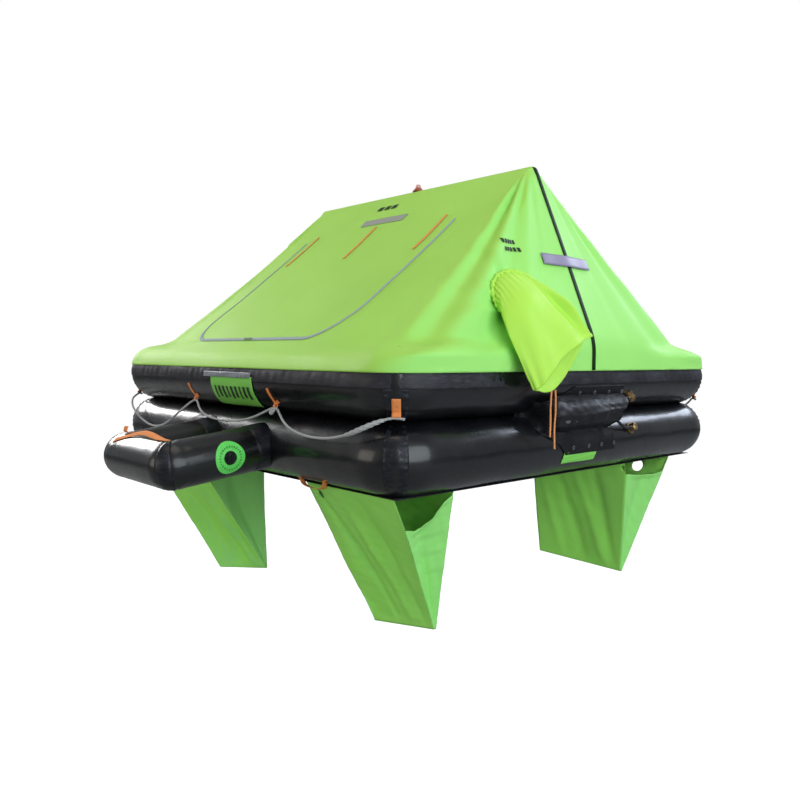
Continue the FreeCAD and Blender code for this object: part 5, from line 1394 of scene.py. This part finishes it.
def ramp_loop(out, height, arm=60, bend=14, bar=50):
    """One line along the U at a distance out from its centre line, as points of the ramp's frame."""
    half, end = RAMP_HALF + out, RAMP_REACH + out
    radius = max(0.012 + out, 0.002)
    start = 0.105
    along = np.linspace(start, -end + radius, arm)
    turns = np.linspace(0, math.pi / 2, bend + 2)[1:-1]
    left = np.column_stack([np.full(arm, -half), along])
    left_corner = np.column_stack([-half + radius * (1 - np.cos(turns)), -end + radius * (1 - np.sin(turns))])
    middle = np.column_stack([np.linspace(-half + radius, half - radius, bar), np.full(bar, -end)])
    right_corner = (left_corner * [-1, 1])[::-1]
    right = (left * [-1, 1])[::-1]
    line = np.vstack([left, left_corner, middle, right_corner, right])
    return np.column_stack([line, np.full(len(line), height)])


def ramp_grid(grow, angles):
    """Rows of the ramp's tube at the given angles, grow outside its skin."""
    reach = RAMP_RADIUS + grow
    return np.array([ramp_loop(reach * math.cos(a), reach * math.sin(a)) for a in angles])


print("ramp reaches", round(RAMP_REACH, 3), "m from the hull")

# %% Ramp tube, corner tapes and collars
ramp_angles = np.linspace(0, 2 * math.pi, 56, endpoint=False)
ramp_rows = ramp_grid(0.0, ramp_angles)
ramp_normals = grid_normals(ramp_rows, True, False)
outward = np.array([[math.cos(a), 0, math.sin(a)] for a in ramp_angles])
corner_spots = np.array([[-RAMP_HALF, -RAMP_REACH, 0], [RAMP_HALF, -RAMP_REACH, 0]])
to_corner = np.minimum(*[np.linalg.norm((ramp_rows - spot)[..., :2], axis=-1) for spot in corner_spots])
diagonal_gap = np.abs(np.abs(ramp_rows[..., 0]) - RAMP_HALF + ramp_rows[..., 1] + RAMP_REACH)
pucker = np.exp(-(diagonal_gap / 0.020) ** 2) * np.exp(-(to_corner / 0.16) ** 2)
fans = waves(ramp_rows, 0.030, 61)
flip = np.sign(np.sum(ramp_normals * (ramp_rows - ramp_rows.mean(axis=0)), axis=-1, keepdims=True))
shift = (0.0018 * fans * np.exp(-(to_corner / 0.07) ** 2) - 0.0030 * pucker
         + 0.0006 * waves(ramp_rows, 0.20, 62))
ramp_rows = ramp_rows + ramp_normals * flip * shift[..., None]
ramp_skin = grid_piece("ramp_tube_skin", in_ramp(ramp_rows), True, False)
settle(ramp_skin, tube_rubber, "tube_rubber", "ramp_tube")

corner_tapes = []
for side in (-1, 1):
    angles = np.linspace(-0.75 * math.pi, 0.75 * math.pi, 50)
    rows = ramp_grid(0.0014, angles)
    centre = 60 + 7 if side < 0 else rows.shape[1] - 60 - 7 - 1
    columns = rows[:, centre - 3:centre + 4]
    columns = columns + 0.0008 * waves(columns, 0.018, 63)[..., None] * np.array([0, 0, 1.0])
    tape = grid_piece("ramp_corner_tape_%s" % ("left" if side < 0 else "right"), in_ramp(columns))
    settle(tape, tape_rubber, "tape_rubber", thickness=0.0008)
    corner_tapes.append(tape)

for label, side in (("left", -1), ("right", 1)):
    angles = np.linspace(0, 2 * math.pi, 72, endpoint=False)
    runs = np.linspace(-0.047, 0.100, 22)
    swell = 0.0012 + 0.0006 * np.sin(angles * 7 + side) + 0.0003 * np.sin(angles * 19)
    edge = np.clip((runs + 0.047) / 0.004, 0, 1)[:, None]
    reach = RAMP_RADIUS + 0.0006 + swell[None] * edge
    grid = np.stack([side * RAMP_HALF + reach * np.cos(angles), np.repeat(runs[:, None], 72, axis=1)
                     + 0.002 * np.sin(angles * 5 + 2 * side)[None], reach * np.sin(angles)], axis=-1)
    collar = grid_piece("ramp_collar_band_" + label, in_ramp(grid), False, True)
    settle(collar, tape_rubber, "tape_rubber", "ramp_collar_" + label)
print("ramp skin", len(ramp_skin.data.polygons), "quads")

# %% Ramp floor and boarding handle
floor_x = np.linspace(-RAMP_HALF + 0.012, RAMP_HALF - 0.012, 40)
floor_y = np.linspace(-RAMP_REACH + 0.010, 0.045, 46)
gx, gy = np.meshgrid(floor_x, floor_y)
sag = (np.cos(gx / RAMP_HALF * math.pi / 2)
       * np.sin(math.pi * np.clip((gy + RAMP_REACH) / RAMP_REACH, 0, 1)) ** 0.6)
web = np.stack([gx, gy, -0.036 - 0.014 * sag], axis=-1)
web[..., 2] += 0.0022 * waves(web, 0.11, 64)
ramp_floor = grid_piece("ramp_floor_cloth", in_ramp(web))
settle(ramp_floor, floor_cloth, "floor_cloth", "ramp_floor", thickness=0.0016)

bar_top = RAMP_RADIUS + 0.0022
strap_path, strap_sides = [], []
for share in np.linspace(0, 1, 40):
    x = -0.168 + 0.350 * share
    swing = math.radians(52) * (1 - min(share / 0.42, 1.0)) ** 1.3
    lift = 0.012 * math.sin(math.pi * min(max((share - 0.10) / 0.80, 0), 1)) ** 2
    reach = bar_top + lift
    strap_path.append((x, -RAMP_REACH - reach * math.sin(swing) * 0.75, reach * math.cos(swing * 0.75)))
    twist = 0.9 * math.sin(math.pi * share) ** 2
    strap_sides.append((0.25 * (1 - share), -math.cos(swing * 0.8 + twist * 0.4),
                        -math.sin(swing * 0.8 + twist)))
strap = ribbon("ramp_strap_webbing", in_ramp(strap_path), np.array(strap_sides), 0.025)
settle(strap, orange_webbing, "webbing_orange", "ramp_strap", thickness=0.0018)
flap_path = [(-0.168, -RAMP_REACH + 0.030, bar_top - 0.006), (-0.168, -RAMP_REACH + 0.012, bar_top),
             (-0.168, -RAMP_REACH + 0.001, bar_top + 0.002), (-0.168, -RAMP_REACH - 0.005, bar_top + 0.007),
             (-0.167, -RAMP_REACH - 0.003, bar_top + 0.017), (-0.165, -RAMP_REACH + 0.001, bar_top + 0.026)]
flap_path = smooth_between(np.array(flap_path), np.linspace(0, 1, 6), np.linspace(0, 1, 24))
flap = ribbon("ramp_strap_flap", in_ramp(flap_path), (1.0, 0.12, 0), 0.026)
settle(flap, orange_webbing, "webbing_orange", thickness=0.0018)
print("handle", len(strap_path), "points")

# %% Ticks on the valve's ring
ring_low, ring_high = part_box("valve_label_ring")
ring_centre = [(a + b) / 2 for a, b in zip(ring_low, ring_high)]
TICK_MIDDLE = 0.0425
tick_quads, tick_spots = [], []
for index in range(26):
    angle = 2 * math.pi * index / 26
    long = 0.0085 if index % 3 else 0.0055
    near, far = TICK_MIDDLE - long / 2, TICK_MIDDLE + long / 2
    for radial, side in ((near, -1), (far, -1), (far, 1), (near, 1)):
        a = angle + side * 0.0020 / radial
        tick_spots.append((ring_high[0] + 0.0004, ring_centre[1] + radial * math.cos(a),
                           ring_centre[2] + radial * math.sin(a)))
    tick_quads.append([4 * index, 4 * index + 1, 4 * index + 2, 4 * index + 3])
tick_mesh = bpy.data.meshes.new("ring_ticks")
tick_mesh.from_pydata(tick_spots, [], tick_quads)
ticks = bpy.data.objects.new("ring_ticks", tick_mesh)
bpy.context.collection.objects.link(ticks)
settle(ticks, ring_print, "ring_green")
print("ticks", len(tick_quads))

# %% [markdown]
# ## Pouch, floor and arch
# The gas cylinder lies in the groove between the tubes under a laced sheet of rubber. The sheet's
# section runs down the upper tube, bridges to the bottle, rounds it and ends on the lower tube, and
# its sides follow the cut of the real piece: wide at the middle, narrow at its foot.

# %% Pouch
bottle_low, bottle_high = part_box("gas_cylinder")
BOTTLE_X = (bottle_low[0] + bottle_high[0]) / 2
BOTTLE_Z = (bottle_low[2] + bottle_high[2]) / 2
BOTTLE_RADIUS = (bottle_high[2] - bottle_low[2]) / 2 + 0.0030
swing = math.radians(58)


def pouch_section(count=90):
    """Section (x, z) from the upper edge down to the lower edge, evenly spaced."""
    points = []
    skin = TUBE_RADIUS + 0.0022
    for height in np.linspace(0.357, 0.320, 12):
        rise = height - UPPER_LEVEL
        points.append((LINE_X + math.sqrt(skin ** 2 - rise ** 2), height))
    for angle in np.linspace(swing, -swing, 26):
        points.append((BOTTLE_X + BOTTLE_RADIUS * math.cos(angle),
                       BOTTLE_Z + BOTTLE_RADIUS * math.sin(angle)))
    for height in np.linspace(0.186, 0.092, 18):
        rise = height - LOWER_LEVEL
        points.append((LINE_X + math.sqrt(skin ** 2 - rise ** 2), height))
    points = np.array(points)
    run = np.concatenate([[0], np.cumsum(np.linalg.norm(np.diff(points, axis=0), axis=1))])
    even = np.linspace(0, run[-1], count)
    return np.column_stack([np.interp(even, run, points[:, 0]), np.interp(even, run, points[:, 1])])


section = pouch_section()
left_edge = np.interp(section[:, 1], [0.090, 0.135, 0.190, 0.252, 0.300, 0.330, 0.360],
                      [-0.170, -0.215, -0.330, -0.385, -0.345, -0.180, -0.110])
right_edge = np.interp(section[:, 1], [0.090, 0.160, 0.252, 0.305, 0.360],
                       [0.172, 0.160, 0.168, 0.232, 0.236])
columns = np.linspace(0, 1, 110)
pouch_y = left_edge[:, None] + (right_edge - left_edge)[:, None] * columns[None]
upper_gap = np.sqrt(np.maximum((TUBE_RADIUS + 0.003) ** 2 - (section[:, 1] - UPPER_LEVEL) ** 2, 0))
lower_gap = np.sqrt(np.maximum((TUBE_RADIUS + 0.003) ** 2 - (section[:, 1] - LOWER_LEVEL) ** 2, 0))
groove_x = LINE_X + np.maximum(np.maximum(upper_gap, lower_gap), 0.050)
past_end = np.clip((-pouch_y - 0.292) / 0.055, 0, 1)
past_end = past_end * past_end * (3 - 2 * past_end)
pouch_x = section[:, :1] * (1 - past_end) + groove_x[:, None] * past_end
pouch_grid = np.stack([pouch_x, pouch_y, np.repeat(section[:, 1:], 110, axis=1)], axis=-1)
pouch_normals = grid_normals(pouch_grid)
pouch_normals *= np.sign(pouch_normals[..., :1])
held = np.clip((0.319 - pouch_grid[..., 2]) / 0.02, 0, 1) * np.clip((pouch_grid[..., 2] - 0.142) / 0.02, 0, 1)
from_corner = np.hypot(pouch_grid[..., 1] + 0.33, pouch_grid[..., 2] - 0.250)
fan = np.arctan2(pouch_grid[..., 2] - 0.250, pouch_grid[..., 1] + 0.33)
creases = 0.0030 * np.sin(fan * 11 + 0.5) * bell(from_corner, 0.16, 0.14)
ridge = 0.0045 * bell(pouch_grid[..., 2], 0.254 + 0.01 * np.sin(pouch_grid[..., 1] * 9), 0.010)
slack_rubber = 0.0032 * waves(pouch_grid, 0.10, 71) + 0.0012 * waves(pouch_grid, 0.035, 72)
past_bottle = np.clip((np.abs(pouch_grid[..., 1] + 0.14) - 0.16) / 0.05, 0, 1)
hollow = -0.014 * past_bottle * bell(pouch_grid[..., 2], 0.252, 0.045)
push = (creases + ridge + slack_rubber + hollow) * held + 0.0004 * waves(pouch_grid, 0.05, 73)
pouch_grid = pouch_grid + pouch_normals * push[..., None]
pouch = grid_piece("cylinder_pouch_rubber", pouch_grid)
settle(pouch, pouch_rubber, "tape_rubber", "cylinder_pouch", thickness=0.0018)
print("pouch", len(pouch.data.polygons), "quads")

# %% Floor sheet
floor_line = np.linspace(-1, 1, 70)
fx, fy = np.meshgrid(0.953 * floor_line, 0.978 * floor_line)
floor_rise = np.full(fx.shape, 0.001)
inside = np.clip((0.80 - np.maximum(np.abs(fx), np.abs(fy))) / 0.15, 0, 1)
base_sheet = np.stack([fx, fy, floor_rise], axis=-1)
base_sheet[..., 2] += inside * (0.0035 * waves(base_sheet, 0.55, 75) - 0.004)
base_floor = grid_piece("floor_cloth_sheet", base_sheet)
settle(base_floor, floor_cloth, "floor_cloth", "floor_sheet", thickness=0.0016)
print("floor", len(base_floor.data.polygons), "quads")

# %% [markdown]
# ## Valve spring
# The spring behind the valve's plunger is a coil of steel wire. A helix gives the wire's line, and a
# small circle is swept along it.

# %% Valve spring
spring_low, spring_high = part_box("valve_spring")
SPRING_WIRE = 0.0005
SPRING_TURNS = 7
spring_turn = np.linspace(0, 2 * math.pi * SPRING_TURNS, 24 * SPRING_TURNS)
spring_reach = (spring_high[1] - spring_low[1]) / 2 - SPRING_WIRE - 0.0001
spring_out = np.column_stack([np.zeros(len(spring_turn)), np.cos(spring_turn), np.sin(spring_turn)])
spring_middle = [0, (spring_low[1] + spring_high[1]) / 2, (spring_low[2] + spring_high[2]) / 2]
spring_line = spring_out * spring_reach + spring_middle
spring_line[:, 0] = np.linspace(spring_low[0] + SPRING_WIRE, spring_high[0] - 2 * SPRING_WIRE,
                                len(spring_turn))
wire_turn = np.linspace(0, 2 * math.pi, 8, endpoint=False)
coil_grid = spring_line[:, None] + SPRING_WIRE * (
    np.cos(wire_turn)[None, :, None] * spring_out[:, None]
    + np.sin(wire_turn)[None, :, None] * np.array([1.0, 0, 0]))
coil = grid_piece("valve_spring_coil", coil_grid, False, True)
settle(coil, steel, "steel", "valve_spring")
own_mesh(coil)

# %% [markdown]
# ## Materials of the rigid pieces
# The valve, the sliders, the fittings, the bottle and the lamp keep the construction's own meshes.
# Each gets its material by node name.

# %% Rigid pieces
KEPT = {
    "zip_slider_left": steel, "zip_slider_right": steel, "valve_body": black_plastic,
    "valve_cap": black_plastic, "valve_plunger": brass, "valve_label_ring": ring_green,
    "gas_cylinder": cylinder_paint, "operating_head": brass, "upper_inlet_valve": brass,
    "lower_inlet_valve": brass, "upper_hose": band_rubber, "lower_hose": band_rubber,
    "pouch_eyelets": steel, "lamp_base": lamp_red, "lamp_lens": lamp_clear,
    "relief_valve": black_plastic, "canopy_arch": band_rubber}
for name, material in KEPT.items():
    data = bpy.data.objects[name].data
    data.materials.clear()
    data.materials.append(material)
print("kept", len(KEPT), "construction pieces")
